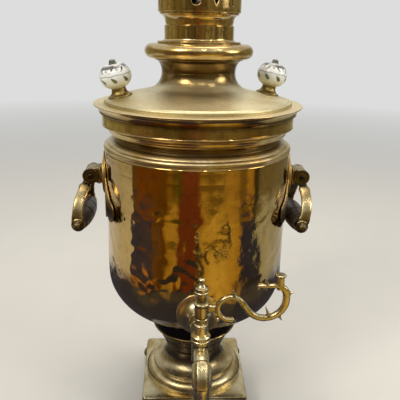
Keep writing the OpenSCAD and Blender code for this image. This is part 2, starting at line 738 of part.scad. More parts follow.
module scroll_outline() {
    tip_w = strap_w * 0.55;
    branch_z = hook_c[1] + hook_r;
    knob_c = [hook_c[0] - 13.4, branch_z];
    leaf_c = [hook_c[0] - 7.5, branch_z];
    strap_arc(curl_c, curl_r, strap_w, link_a + 90, 277);
    strap_line(curl_t, bow_t, strap_w, strap_w);
    strap_arc(bow_c, bow_r, strap_w, link_a + 270, 360);
    strap_line(bow_c + [bow_r, 0], bow_c + [bow_r, hook_c[1] - bow_c[1]], strap_w, strap_w);
    strap_arc(hook_c, hook_r, strap_w * 0.9, 0, 91);
    strap_line(hook_c + [0.2, hook_r], knob_c, strap_w * 0.7, tip_w);
    translate(knob_c) circle(r = tip_w * 0.75, $fn = 32);
    thorn(leaf_c, leaf_c + [-0.6, 6.5], 4.4);
    thorn(leaf_c, leaf_c + [0, -4.8], 4);
    polygon([post_c + [-post_w / 2, hook_r * 0.94], post_c + [post_w / 2, hook_r * 0.6],
        post_c + [post_w / 2 - 0.5, post_h - 1.2], post_c + [0.1 - post_w / 2, post_h - 1.2]]);
    thorn(curl_c + [1.6, curl_r], curl_c + [2, curl_r + strap_w / 2 + 4.4], 4);
    thorn(bow_c + bow_r * [cos(283), sin(283)], bow_c + (bow_r - 10.5) * [cos(275), sin(275)], 4);
    thorn(bow_c + bow_r * [cos(310), sin(310)], bow_c + (bow_r + 7) * [cos(307), sin(307)], 5);
    thorn(hook_c + [hook_r - 0.6, 1.4], hook_c + [hook_r + 5.4, 3.6], 5.6);
    for (a = [222, 262]) translate(curl_c + (curl_r + strap_w / 2 + 1) * [cos(a), sin(a)])
        circle(r = 2, $fn = 32);
}

module tap_key() {
    ring = 0.7;
    stub_h = 7.6;
    color(brass) on_tap_axis() translate([0, 0, z_key]) {
        difference() {
            union() {
                spin([[0, 0], [key_collar_r + ring, 0], [key_collar_r + ring, 1.4],
                    [key_collar_r, 2], [key_collar_r, key_collar_h - 3],
                    [key_collar_r + ring, key_collar_h - 2.2],
                    [key_collar_r + ring, key_collar_h - 0.8], [key_collar_r - 0.3, key_collar_h],
                    [0, key_collar_h]]);
                translate([0, 0, curl_c[1] - stub_h / 2]) translate([0, -key_t * 0.4, 0])
                    cube([curl_c[0] - curl_r, key_t * 0.8, stub_h]);
            }
            translate([0, 0, -1]) cylinder(r = tang_r + run_fit, h = key_collar_h + 2);
        }
        rotate([90, 0, 0]) translate([0, 0, -key_t / 2]) linear_extrude(key_t) scroll_outline();
        translate([post_c[0] - 0.2, 0, post_c[1] + post_h - 1.6]) cylinder(r = thumb_r, h = 1.6);
    }
}

module tap_finial() {
    r = finial_r;
    h = finial_h;
    color(brass) on_tap_axis() translate([0, 0, z_finial]) difference() {
        spin(concat([[0, 0], [r - 0.7, 0], [r - 1.8, 3.4], [r - 1.8, h * 0.36],
            [r, h * 0.42], [r, h * 0.47]],
            arc_pts([r + 3.4, h * 0.47 + 9.6], 7.6, 246, 186, 6),
            [[1.9, h - 3.2], [2.9, h - 2], [2.9, h - 0.8], [2, h], [0, h]]));
        translate([0, 0, -1]) cylinder(r = finial_stud_r + run_fit, h = h * 0.5 + 1.2);
    }
}

// ---- lid ----
function lid_z(r) = z_lip + (lid_edge_r - r) * tan(lid_slope);

// The lid's cone, grown by gap, used to seat what stands on it
module lid_envelope(gap) {
    spin([[0, z_ring], [lid_edge_r, z_ring], [lid_edge_r, lid_z(lid_edge_r) + gap],
        [sweep_r, lid_z(sweep_r) + gap], [0, lid_z(sweep_r) + gap]]);
}

module lid_dome() {
    sweep_c = [waist_r + waist_sweep_r, z_waist];
    roll = 1.5;
    groove_r = lid_edge_r - 2 * roll + 0.9;
    outer = concat([[lid_edge_r + 0.6, z_ring]],
        oval_pts([lid_edge_r + 0.6 - roll, z_lip - roll], roll, roll + 0.1, 0, 100, 7),
        [[groove_r, lid_z(groove_r) - 0.5], [groove_r - 1, lid_z(groove_r - 1)]],
        arc_pts(sweep_c, waist_sweep_r, 270 - lid_slope, 180, 10));
    inner = concat(arc_pts(sweep_c, waist_sweep_r + wall_t, 180, 270 - lid_slope, 10),
        [[lid_edge_r - 1, lid_z(lid_edge_r - 1) - wall_t / cos(lid_slope)],
        [lid_edge_r - 1, z_ring]]);
    color(brass) difference() {
        spin(concat(outer, inner));
        on_steam() translate([0, 0, z_ring]) cylinder(r = steam_hole_r, h = 40);
        for (s = [0, 1]) on_knob(s) translate([0, 0, -10])
            cylinder(r = knob_stud_r + run_fit, h = 20);
    }
}

module lid_ring() {
    r = lid_ring_r;
    web = lid_z(r - wall_t) - z_ring - wall_t / cos(lid_slope) - 0.05;
    color(dull_brass) translate([0, 0, z_ring - lid_ring_drop]) spin([[r - wall_t, 0], [r, 0],
        [r, lid_ring_drop + lid_z(r) - z_ring - wall_t / cos(lid_slope) - 0.05],
        [r - wall_t, lid_ring_drop + web]]);
}

module lid_neck() {
    cove = neck_rise - 1.4;
    top_r = torus_ring_r - 3;
    outer = concat([[waist_r, 0]],
        oval_pts([top_r, 0], top_r - waist_r, cove, 180, 100, 6),
        [[top_r, cove], [top_r, neck_rise]]);
    color(brass) translate([0, 0, z_waist]) {
        difference() {
            union() {
                spin(concat([[0, 0]], outer, [[0, neck_rise]]));
                translate([0, 0, neck_rise + torus_r]) rotate_extrude()
                    translate([torus_ring_r, 0]) circle(r = torus_r);
                translate([0, 0, neck_rise - eps])
                    cylinder(r = torus_ring_r - 1, h = 2 * torus_r + eps);
                translate([0, 0, neck_rise + 2 * torus_r]) cylinder(r = flange_r, h = flange_t);
            }
            translate([0, 0, -1]) cylinder(r = waist_r - wall_t, h = neck_rise + torus_r);
            translate([0, 0, neck_rise + torus_r]) rotate_extrude()
                translate([torus_ring_r, 0]) circle(r = torus_r - wall_t);
            translate([0, 0, neck_rise + wall_t])
                cylinder(r = torus_ring_r, h = 2 * (torus_r - wall_t));
            translate([0, 0, neck_rise + torus_r]) cylinder(r = collar_r - wall_t,
                h = torus_r + flange_t + 1);
        }
    }
}

module lid_collar() {
    sweep = 2.4;
    lip_r = cap_r + 0.6;
    color(brass) translate([0, 0, z_flange]) spin(concat([[collar_r - wall_t, 0],
        [collar_r + sweep, 0]], arc_pts([collar_r + sweep, sweep], sweep, 260, 180, 4),
        [[collar_r, collar_h - 0.6], [collar_r - 0.6, collar_h],
        [collar_r - wall_t, collar_h]]));
}

// ---- lid knobs: s = 0 is the left one, s = 1 the right one ----
module on_knob(s) {
    d = s == 0 ? knob_left_d : knob_right_d;
    rotate([0, 0, lid_turn + (s == 0 ? 180 : 0)]) translate([d, 0, lid_z(d)])
        rotate([0, lid_slope, 0]) children();
}

knob_seat = 0;
knob_core = knob_r - knob_h / 2;
knob_flat = sqrt(pow(knob_h / 2, 2) - pow(knob_core, 2));

module knob_base(s) {
    flare_h = knob_base_h - 2.4;
    color(brass) difference() {
        on_knob(s) difference() {
            spin(concat([[0, -1], [knob_base_r, -1], [knob_base_r, 1.2]],
                oval_pts([knob_base_r, 1.4 + flare_h], knob_base_r - knob_neck_r, flare_h,
                    268, 184, 6),
                [[knob_neck_r, knob_base_h], [0, knob_base_h]]));
            translate([0, 0, -2]) cylinder(r = knob_stud_r + run_fit, h = knob_base_h + 3);
        }
        lid_envelope(run_fit);
    }
}

module knob(s) {
    color(porcelain) on_knob(s) translate([0, 0, knob_seat + knob_base_h]) difference() {
        translate([0, 0, knob_flat]) rotate_extrude() intersection() {
            translate([knob_core, 0]) circle(r = knob_h / 2);
            translate([0, -knob_flat]) square([knob_r + 1, 2 * knob_flat]);
        }
        translate([0, 0, -1]) cylinder(r = knob_stud_r + run_fit, h = knob_h + 2);
    }
}

module knob_stud(s) {
    nut = 3;
    top = knob_seat + knob_base_h + 2 * knob_flat + knob_nut_h - 1.4;
    color(iron) on_knob(s) translate([0, 0, -wall_t - nut - 1])
        cylinder(r = knob_stud_r, h = top + wall_t + nut + 1);
}

module knob_nut(s) {
    r = 3.8;
    color(iron) on_knob(s) translate([0, 0, knob_seat + knob_base_h + 2 * knob_flat])
        difference() {
            spin([[0, 0], [r, 0], [r, 0.9], [r - 1, 1.3], [r - 0.8, 2], [r - 2, 3],
                [r - 1.8, 3.4], [r - 2.4, knob_nut_h], [0, knob_nut_h]]);
            translate([0, 0, -1]) cylinder(r = knob_stud_r + run_fit, h = knob_nut_h);
        }
}

module knob_under_nuts() {
    nut_h = 3;
    color(iron) for (s = [0, 1]) on_knob(s) translate([0, 0, -wall_t - nut_h - 0.1])
        difference() {
            rotate([0, 0, 30]) cylinder(r = nut_flats / 2 / cos(30), h = nut_h, $fn = 6);
            translate([0, 0, -1]) cylinder(r = knob_stud_r + run_fit, h = nut_h + 2);
        }
}

// ---- steam vent behind the lid's neck ----
module on_steam() {
    rotate([0, 0, lid_turn + 90]) translate([steam_d, 0, 0]) children();
}

z_steam = lid_z(steam_d) + steam_seat_h;

module steam_seat() {
    drop_in = (steam_seat_r + 2) * tan(lid_slope) + 1;
    color(brass) difference() {
        on_steam() translate([0, 0, z_steam - steam_seat_h - drop_in])
            spin([[steam_hole_r, 0], [steam_seat_r + 2, 0], [steam_seat_r + 2, drop_in + 1],
                [steam_seat_r, drop_in + steam_seat_h * 0.5],
                [steam_seat_r, drop_in + steam_seat_h], [steam_hole_r, drop_in + steam_seat_h]]);
        lid_envelope(run_fit);
    }
}

module steam_cap() {
    plug = steam_hole_r - 0.1;
    r = steam_seat_r + 1.2;
    color(brass) on_steam() translate([0, 0, z_steam + 2 * eps]) spin([[0, -4], [plug - 0.4, -4],
        [plug, -3.4], [plug, 0], [r, 0], [r, 1.2], [r - 1.6, 2.6], [1.8, 3.6], [1.8, 5],
        [3.4, 6.6], [3.4, 8], [2, 9.4], [0, 9.4]]);
}

// ---- crown ----
module crown_cup() {
    spigot_h = 5;
    shelf = 1.6;
    outer = concat([[cup_foot_r, 0], [cup_foot_r + 0.8, cup_h * 0.3]],
        oval_pts([crown_r - 1.6, cup_h * 0.3], crown_r - 1.6 - cup_foot_r - 0.8,
            cup_h * 0.52, 176, 100, 5),
        [[crown_r - 1.6, cup_h * 0.82], [crown_r - 1.6, cup_h]]);
    inner = [[crown_r - 1.6 - wall_t, cup_h], [crown_r - 1.6 - wall_t, cup_h - shelf],
        [cup_foot_r + 0.6 - wall_t, cup_h * 0.45], [cup_foot_r - wall_t, shelf],
        [cup_hole_r, shelf], [cup_hole_r, -spigot_h], [spigot_r, -spigot_h], [spigot_r, 0]];
    color(brass) translate([0, 0, z_collar]) spin(concat(outer, inner));
}

// One pierced hole in the gallery: 0 round-footed drop, 1 pointed trefoil, 2 narrow drop
module pierce_outline(kind) {
    w = kind == 2 ? pierce_w * 0.55 : pierce_w;
    r = w / 2;
    low = 2;
    if (kind == 0) {
        translate([0, low + r]) circle(r = r, $fn = 48);
        polygon([[-r * 0.94, low + r * 1.3], [r * 0.94, low + r * 1.3], [0, low + pierce_h]]);
    }
    if (kind == 1) {
        for (x = [-r * 0.5, r * 0.5]) translate([x, low + pierce_h * 0.42])
            circle(r = r * 0.62, $fn = 48);
        translate([0, low + pierce_h - r]) circle(r = r * 0.8, $fn = 48);
        polygon([[0, low], [r, low + pierce_h * 0.36], [r * 0.5, low + pierce_h * 0.62],
            [r * 0.4, low + pierce_h - r], [-r * 0.4, low + pierce_h - r],
            [-r * 0.5, low + pierce_h * 0.62], [-r, low + pierce_h * 0.36]]);
    }
    if (kind == 2) {
        translate([0, low + pierce_h - r]) circle(r = r, $fn = 48);
        polygon([[-r * 0.94, low + pierce_h - r * 1.3], [r * 0.94, low + pierce_h - r * 1.3],
            [r * 0.3, low], [-r * 0.3, low]]);
    }
}

module crown_gallery() {
    first = -6.8;
    foot = 3;
    color(brass) translate([0, 0, z_cup]) difference() {
        spin([[crown_r - 1.6 - wall_t, 0], [crown_r - 0.4, 0], [crown_r, 0.6],
            [crown_r, gallery_h], [crown_r - wall_t, gallery_h], [crown_r - wall_t, foot],
            [crown_r - 1.6 - wall_t, foot - 1]]);
        for (g = [0:pierce_groups - 1], k = [0:2])
            rotate([0, 0, first + g * 360 / pierce_groups + k * pierce_step])
                rotate([90, 0, 0]) linear_extrude(crown_r + 2) translate([0, foot])
                    pierce_outline(k);
    }
}

module crown_rim() {
    r = crown_rim_r;
    flat = 0.8 * r;
    color(brass) translate([0, 0, z_gallery + flat]) rotate_extrude()
        translate([crown_r - wall_t / 2, 0]) intersection() {
            circle(r = r, $fn = 32);
            translate([-2 * r, -flat]) square([4 * r, 2 * flat]);
        }
}

// ---- chimney cap ----
module chimney_cap() {
    plug_r = tube_top_r - wall_t - 0.3;
    color(dull_brass) translate([0, 0, z_chimney]) difference() {
        spin([[0, -cap_plug_h], [plug_r, -cap_plug_h], [plug_r, 0], [cap_r, 0], [cap_r, cap_t],
            [0, cap_t + 1]]);
        translate([0, 0, -cap_plug_h - 1]) cylinder(r = plug_r - wall_t, h = cap_plug_h + 1);
    }
}

module chimney_cap_knob() {
    h = cap_knob_h;
    color(dark_wood) translate([0, 0, z_chimney + cap_t + 1]) spin(concat([[0, 0], [3.4, 0], [2.6, h * 0.3]],
        arc_pts([0, h * 0.64], h * 0.36, -40, 90, 8), [[0, h]]));
}

// ---- handles: s = -1 is the left one, s = 1 the right one ----
function lean(s) = s < 0 ? left_lean : right_lean;

// Scalloped shield seen from the side of the urn, around the pin
module shield_outline() {
    lobe = 11;
    top = 12;
    low = lobe - shield_low;
    polygon([[-top, shield_high - top], [top, shield_high - top],
        [shield_half_w - lobe * 0.4, low + lobe * 0.6], [shield_half_w - lobe, low],
        [lobe - shield_half_w, low], [lobe * 0.4 - shield_half_w, low + lobe * 0.6]]);
    translate([0, shield_high - top]) circle(r = top);
    translate([0, 2]) circle(r = shield_high - 2);
    for (x = [lobe - shield_half_w, shield_half_w - lobe]) translate([x, low + 2])
        circle(r = lobe);
    for (x = [-lobe * 1.7, lobe * 1.7]) translate([x, low]) circle(r = lobe * 0.95);
}

// Flared boss about Z that carries the bracket
module boss(r, neck_r, h) {
    spin(concat([[0, 0], [r, 0], [r, 3 + shield_t]],
        oval_pts([r, 3 + h], r - neck_r, h - shield_t - 0.2, 268, 184, 8),
        [[neck_r, 3 + h], [0, 3 + h]]));
}

module shield(s) {
    color(aged_bronze) difference() {
        union() {
            intersection() {
                translate([0, 0, z_pin - 60]) cylinder(r = body_r + shield_t, h = 120);
                translate([s * body_r / 2, 0, z_pin]) rotate([90, 0, 90])
                    linear_extrude(body_r, center = true) shield_outline();
            }
            translate([s * (body_r - 3), 0, z_pin]) rotate([0, s * 90, 0])
                boss(mount_r, tongue_r + 1.6, mount_rise);
        }
        urn_envelope(run_fit);
    }
}

module handle_bracket(s) {
    band = bracket_band;
    color(aged_bronze) difference() {
        union() {
            scale([s, 1, 1]) translate([mount_x, -tongue_w / 2, z_pin - tongue_r])
                cube([pin_d - mount_x, tongue_w, 2 * tongue_r]);
            for (x = [0, band + 0.6]) scale([s, 1, 1])
                translate([mount_x + x, -tongue_w / 2 - (x == 0 ? 1 : 0), z_pin - tongue_r - 0.7])
                    cube([band, tongue_w + (x == 0 ? 2 : 0), 2 * tongue_r + 1.4]);
            translate([s * pin_d, 0, z_pin]) rotate([90, 0, 0])
                cylinder(r = tongue_r, h = tongue_w, center = true);
        }
        translate([s * pin_d, 0, z_pin]) rotate([90, 0, 0])
            cylinder(r = pin_r + run_fit, h = tongue_w + 4, center = true);
    }
}

module handle_pin(s) {
    half = arm_in + arm_t;
    color(dark_bronze) translate([s * pin_d, 0, z_pin]) rotate([90, 0, 0])
        translate([0, 0, -half - 1.2]) cylinder(r = pin_r, h = 2 * half + 2.4);
}

// Places a piece of a handle that hangs below its pin: X away from the urn, Z down negative
module on_handle(s) {
    translate([s * pin_d, 0, z_pin]) rotate([0, -s * lean(s), 0]) scale([s, 1, 1]) children();
}

module arm(s, face) {
    top = -eye_r * 0.82;
    color(aged_bronze) on_handle(s) scale([1, face, 1]) difference() {
        union() {
            translate([0, arm_in, 0]) rotate([-90, 0, 0]) cylinder(r = eye_r, h = arm_t);
            intersection() {
                rotate([90, 0, 0]) translate([arm_bow - front_r, -drop / 2, -arm_span])
                    linear_extrude(2 * arm_span) intersection() {
                        difference() {
                            circle(r = front_r + arm_w / 2, $fn = 180);
                            circle(r = front_r - arm_w / 2, $fn = 180);
                        }
                        translate([0, -drop / 2]) square([2 * front_r, drop + top]);
                    }
                rotate([90, 0, 90]) translate([arm_span / 2 - side_r, -drop, -arm_w * 2])
                    linear_extrude(arm_w * 4) intersection() {
                        difference() {
                            circle(r = side_r + arm_t / 2, $fn = 180);
                            circle(r = side_r - arm_t / 2, $fn = 180);
                        }
                        translate([arm_in - arm_span / 2 + side_r, 0])
                            square([side_r, drop + top]);
                    }
            }
            translate([0, grip_half, -drop]) rotate([-90, 0, 0])
                cylinder(r = boss_r, h = boss_out - grip_half);
        }
        translate([0, arm_in - 1, 0]) rotate([-90, 0, 0]) cylinder(r = pin_r + run_fit, h = arm_t + 2);
        translate([0, grip_half - 1, -drop]) rotate([-90, 0, 0])
            cylinder(r = rod_r + run_fit, h = boss_out - grip_half + 2);
    }
}

module grip(s) {
    swell_r = (grip_half * grip_half + pow(grip_r - grip_end_r, 2)) / (2 * (grip_r - grip_end_r));
    a = asin((grip_half - 2) / swell_r);
    color(dark_wood) on_handle(s) translate([0, 0, -drop]) rotate([-90, 0, 0]) spin(concat(
        [[rod_r + run_fit, -grip_half + 0.2], [grip_end_r - 1, -grip_half + 0.2]],
        arc_pts([grip_r - swell_r, 0], swell_r, -a, a, 14),
        [[grip_end_r - 1, grip_half - 0.2], [rod_r + run_fit, grip_half - 0.2]]));
}

module grip_rod(s) {
    color(iron) on_handle(s) translate([0, 0, -drop]) rotate([90, 0, 0])
        translate([0, 0, -boss_out - 1.6]) cylinder(r = rod_r, h = 2 * boss_out + 3.2);
}

module rod_caps(s) {
    r = boss_r - 1.6;
    color(aged_bronze) on_handle(s) translate([0, 0, -drop]) for (f = [-1, 1])
        scale([1, f, 1]) translate([0, boss_out, 0]) rotate([-90, 0, 0]) difference() {
            spin(concat([[0, 0], [r, 0], [r, 0.8]], arc_pts([0, 0.8], r - 0.4, 8, 90, 6) , [[0, 0.8]]));
            translate([0, 0, -1]) cylinder(r = rod_r + run_fit, h = 2.7);
        }
}

feet();
base_plate();
pedestal_skirt();
pedestal_stem();
drum_bowl();
vent_drum();
drum_bead_ring();
body_shell();
body_shoulder();
neck_band();
top_ring();
fire_tube();
fire_grate();
tap_rosette();
tap_body();
tap_spout();
tap_plug();
tap_key();
tap_finial();
lid_dome();
lid_ring();
lid_neck();
lid_collar();
knob_base(0);  // knob_base_left
knob_base(1);  // knob_base_right
knob(0);  // knob_left
knob(1);  // knob_right
knob_stud(0);  // knob_stud_left
knob_stud(1);  // knob_stud_right
knob_nut(0);  // knob_nut_left
knob_nut(1);  // knob_nut_right
knob_under_nuts();
steam_seat();
steam_cap();
crown_cup();
crown_gallery();
crown_rim();
chimney_cap();
chimney_cap_knob();
shield(-1);  // shield_left
shield(1);  // shield_right
handle_bracket(-1);  // handle_bracket_left
handle_bracket(1);  // handle_bracket_right
handle_pin(-1);  // handle_pin_left
handle_pin(1);  // handle_pin_right
arm(-1, -1);  // arm_front_left
arm(-1, 1);  // arm_rear_left
arm(1, -1);  // arm_front_right
arm(1, 1);  // arm_rear_right
grip(-1);  // grip_left
grip(1);  // grip_right
grip_rod(-1);  // grip_rod_left
grip_rod(1);  // grip_rod_right
rod_caps(-1);  // rod_caps_left
rod_caps(1);  // rod_caps_right
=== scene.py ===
"""Charcoal samovar, dressed over the fixed frame: spun brass, cast bronze, painted porcelain and turned wood."""

import json
import math
from functools import partial

import bmesh
import bpy
import numpy as np
from mathutils import Matrix, Vector, noise
from mathutils.geometry import delaunay_2d_cdt

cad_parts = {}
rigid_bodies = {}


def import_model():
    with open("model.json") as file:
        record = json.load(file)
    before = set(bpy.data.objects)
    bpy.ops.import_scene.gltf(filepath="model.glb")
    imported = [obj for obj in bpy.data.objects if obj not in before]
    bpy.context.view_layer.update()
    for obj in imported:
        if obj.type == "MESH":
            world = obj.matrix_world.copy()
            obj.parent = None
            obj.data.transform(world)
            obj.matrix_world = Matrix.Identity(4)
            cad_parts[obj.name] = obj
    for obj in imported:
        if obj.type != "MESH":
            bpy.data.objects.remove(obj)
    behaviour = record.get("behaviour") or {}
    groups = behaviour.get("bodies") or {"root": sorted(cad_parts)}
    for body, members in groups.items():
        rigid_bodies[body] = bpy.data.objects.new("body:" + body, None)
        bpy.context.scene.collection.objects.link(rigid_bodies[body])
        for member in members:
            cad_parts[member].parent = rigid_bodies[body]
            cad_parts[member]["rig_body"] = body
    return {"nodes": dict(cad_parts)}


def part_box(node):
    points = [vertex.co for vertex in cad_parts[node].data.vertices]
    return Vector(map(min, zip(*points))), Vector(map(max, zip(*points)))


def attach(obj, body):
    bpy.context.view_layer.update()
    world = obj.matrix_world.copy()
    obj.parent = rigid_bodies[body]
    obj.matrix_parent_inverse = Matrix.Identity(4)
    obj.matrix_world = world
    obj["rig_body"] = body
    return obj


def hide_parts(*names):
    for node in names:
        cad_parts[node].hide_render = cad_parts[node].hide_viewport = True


bl_info = {
    "name": "Charcoal Samovar",
    "version": (1, 0, 0),
    "blender": (4, 5, 0),
    "location": "3D View > Sidebar > Samovar",
    "description": "Builds the visible pieces and finishes of a charcoal samovar",
    "category": "Add Mesh",
}

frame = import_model()

MM = 0.001
WALL = 1.6  # thickness of the sheet metal, in millimetres
BODY_OF = {name: node["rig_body"] for name, node in frame["nodes"].items()}


def span(node):
    """Lowest and highest height of a turned node, and its outer radius, in millimetres."""
    low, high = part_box(node)
    return low.z / MM, high.z / MM, high.x / MM


def linear(hex_colour):
    """An sRGB hex colour as linear RGBA."""
    parts = [int(hex_colour[i : i + 2], 16) / 255 for i in (1, 3, 5)]
    return tuple(p / 12.92 if p <= 0.04045 else ((p + 0.055) / 1.055) ** 2.4 for p in parts) + (1.0,)


# Places that several pieces share, in millimetres from the frame
PIN_R = 2.6  # of the handles' pins
Z_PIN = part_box("handle_pin_left")[0].z / MM + PIN_R
PIN_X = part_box("handle_pin_right")[1].x / MM - PIN_R
Z_TAP = 148.0  # height of the tap's bore
PLUG_Y = -146.0  # where its plug stands
URN_R = span("body_shell")[2]
BELLY_R, BELLY_H = 44.6, 45  # where the urn's round underside starts, and its height
NECK_R = 35.6  # foot of the lid's neck
KNOB_FLAT = 10.954  # half the height of a porcelain knob, from its foot to its widest place


# ---- sizes and colours a user may change ----
def length(name, text, mm):
    """A size that is given in millimetres and kept in metres."""
    return bpy.props.FloatProperty(name=name, description=text, default=mm * MM, unit="LENGTH")


def colour(name, text, hex_colour):
    """A colour that is given as sRGB hex and kept linear."""
    return bpy.props.FloatVectorProperty(
        name=name, description=text, subtype="COLOR", size=4, default=linear(hex_colour)
    )


class SamovarSizes(bpy.types.PropertyGroup):
    """Sizes of the fine shaping."""

    edge_round: length("Edge Round", "Radius worn onto the turned edges", 0.45)
    turns: bpy.props.IntProperty(
        name="Turning Steps", description="Number of faces round a turned piece", default=192, min=48
    )
    dent_depth: length("Dent Depth", "Depth of the waves and dents in the urn's wall", 0.75)
    dent_width: length("Dent Width", "Width of a usual dent in the urn's wall", 17)
    cast_grain: length("Cast Grain", "Step of the mesh on the cast pieces", 0.42)
    brush_line: length("Brush Line", "Width of a painted line on the porcelain", 1.0)


class SamovarColours(bpy.types.PropertyGroup):
    """Colours of the finishes."""

    brass: colour("Brass", "Clean golden brass", "#d4bd88")
    urn_brass: colour("Urn Brass", "Golden brass of the urn's wall", "#bda066")
    amber: colour("Amber Tarnish", "Thin amber tarnish on the brass", "#aa8d52")
    umber: colour("Brown Tarnish", "Heavy brown tarnish on the brass", "#5c4624")
    dulled: colour("Dulled Brass", "Wiped and dulled brass", "#d6caa4")
    bronze: colour("Dark Bronze", "Dark patina of the castings", "#6f6139")
    scorched: colour("Scorched Brass", "Brass darkened by the fire", "#453e3c")
    verdigris: colour("Verdigris", "Green copper salts in the corners", "#57603f")
    glaze: colour("Glaze", "Cream white glaze", "#f3f8fa")
    ink: colour("Painted Line", "Black line painting", "#181913")
    leaf: colour("Painted Leaf", "Green leaf painting", "#55652f")
    wood: colour("Grip Wood", "Dark stained wood", "#33291f")
    iron: colour("Iron", "Grey iron", "#74756e")
    ground: colour("Ground", "Pale ground and backdrop", "#dcdddc")


# ---- nodes ----
USUAL = {"Mix": {"data_type": "RGBA"}}  # settings that every node of a kind has here


def add_node(tree, kind, *values, named=None, stops=(), out=None, **settings):
    """Adds a node with its settings and links, and gives back its first open output, or the one named by out.
    The values go to its open inputs in order, named ones by their names. A text is a colour, in hex or of the panel.
    stops are the (place, colour) of a ramp."""

    def resolved(value):
        if not isinstance(value, str):
            return value
        return linear(value) if value.startswith("#") else getattr(bpy.context.scene.samovar_colours, value)

    made = tree.nodes.new("ShaderNode" + kind)
    for name, value in {**USUAL.get(kind, {}), **settings}.items():
        setattr(made, name, value)
    inputs = list(zip((socket for socket in made.inputs if socket.enabled), values))
    inputs += [(made.inputs[name], value) for name, value in (named or {}).items()]
    for socket, value in inputs:
        if isinstance(value, bpy.types.NodeSocket):
            tree.links.new(value, socket)
        else:
            socket.default_value = resolved(value)
    for i, (place, value) in enumerate(stops):
        elements = made.color_ramp.elements
        element = elements[i] if i < len(elements) else elements.new(1.0)
        element.position, element.color = place, resolved(value)
    return made.outputs[out] if out else next((socket for socket in made.outputs if socket.enabled), None)


def new_finish(name):
    """Starts a material: gives back what adds a node to it, and its object coordinates."""
    material = bpy.data.materials.new(name)
    material.use_nodes = True
    material.node_tree.nodes.clear()
    node = partial(add_node, material.node_tree)
    return node, node("TexCoord", out="Object")


def end_finish(node, tint, gloss, heights, metal=1.0, coat=(0.0, 0.03)):
    """Ends a material with its shader. heights are (height, depth in mm) of bumps laid on one another."""
    normal = {}
    for height, depth_mm in heights:
        bump = {"Height": height, "Distance": depth_mm * MM, "Strength": 1.0}
        normal = {"Normal": node("Bump", named={**bump, **normal})}
    coats = {"Coat Weight": coat[0], "Coat Roughness": coat[1]}
    node("OutputMaterial", node(
        "BsdfPrincipled", named={"Base Color": tint, "Roughness": gloss, "Metallic": metal, **coats, **normal}
    ))


def cloud(node, place, width_mm, detail=3.0, roughness=0.55, distortion=0.0, stretch=(1, 1, 1)):
    """Soft noise whose lumps are about width_mm across, stretched along an axis by a factor below 1."""
    moved = node("Mapping", named={"Vector": place, "Scale": stretch})
    lumps = {"Scale": 1 / (width_mm * MM), "Detail": detail, "Roughness": roughness, "Distortion": distortion}
    return node("TexNoise", moved, named=lumps)


def height_blend(node, place, tint, shade, heights, most=0.85):
    """Darkens a colour between two heights in mm: not at all at the first, by the given share at the second."""
    height = node("SeparateXYZ", place, out="Z")
    return node("Mix", node("MapRange", height, heights[0] * MM, heights[1] * MM, 0.0, most), tint, shade)


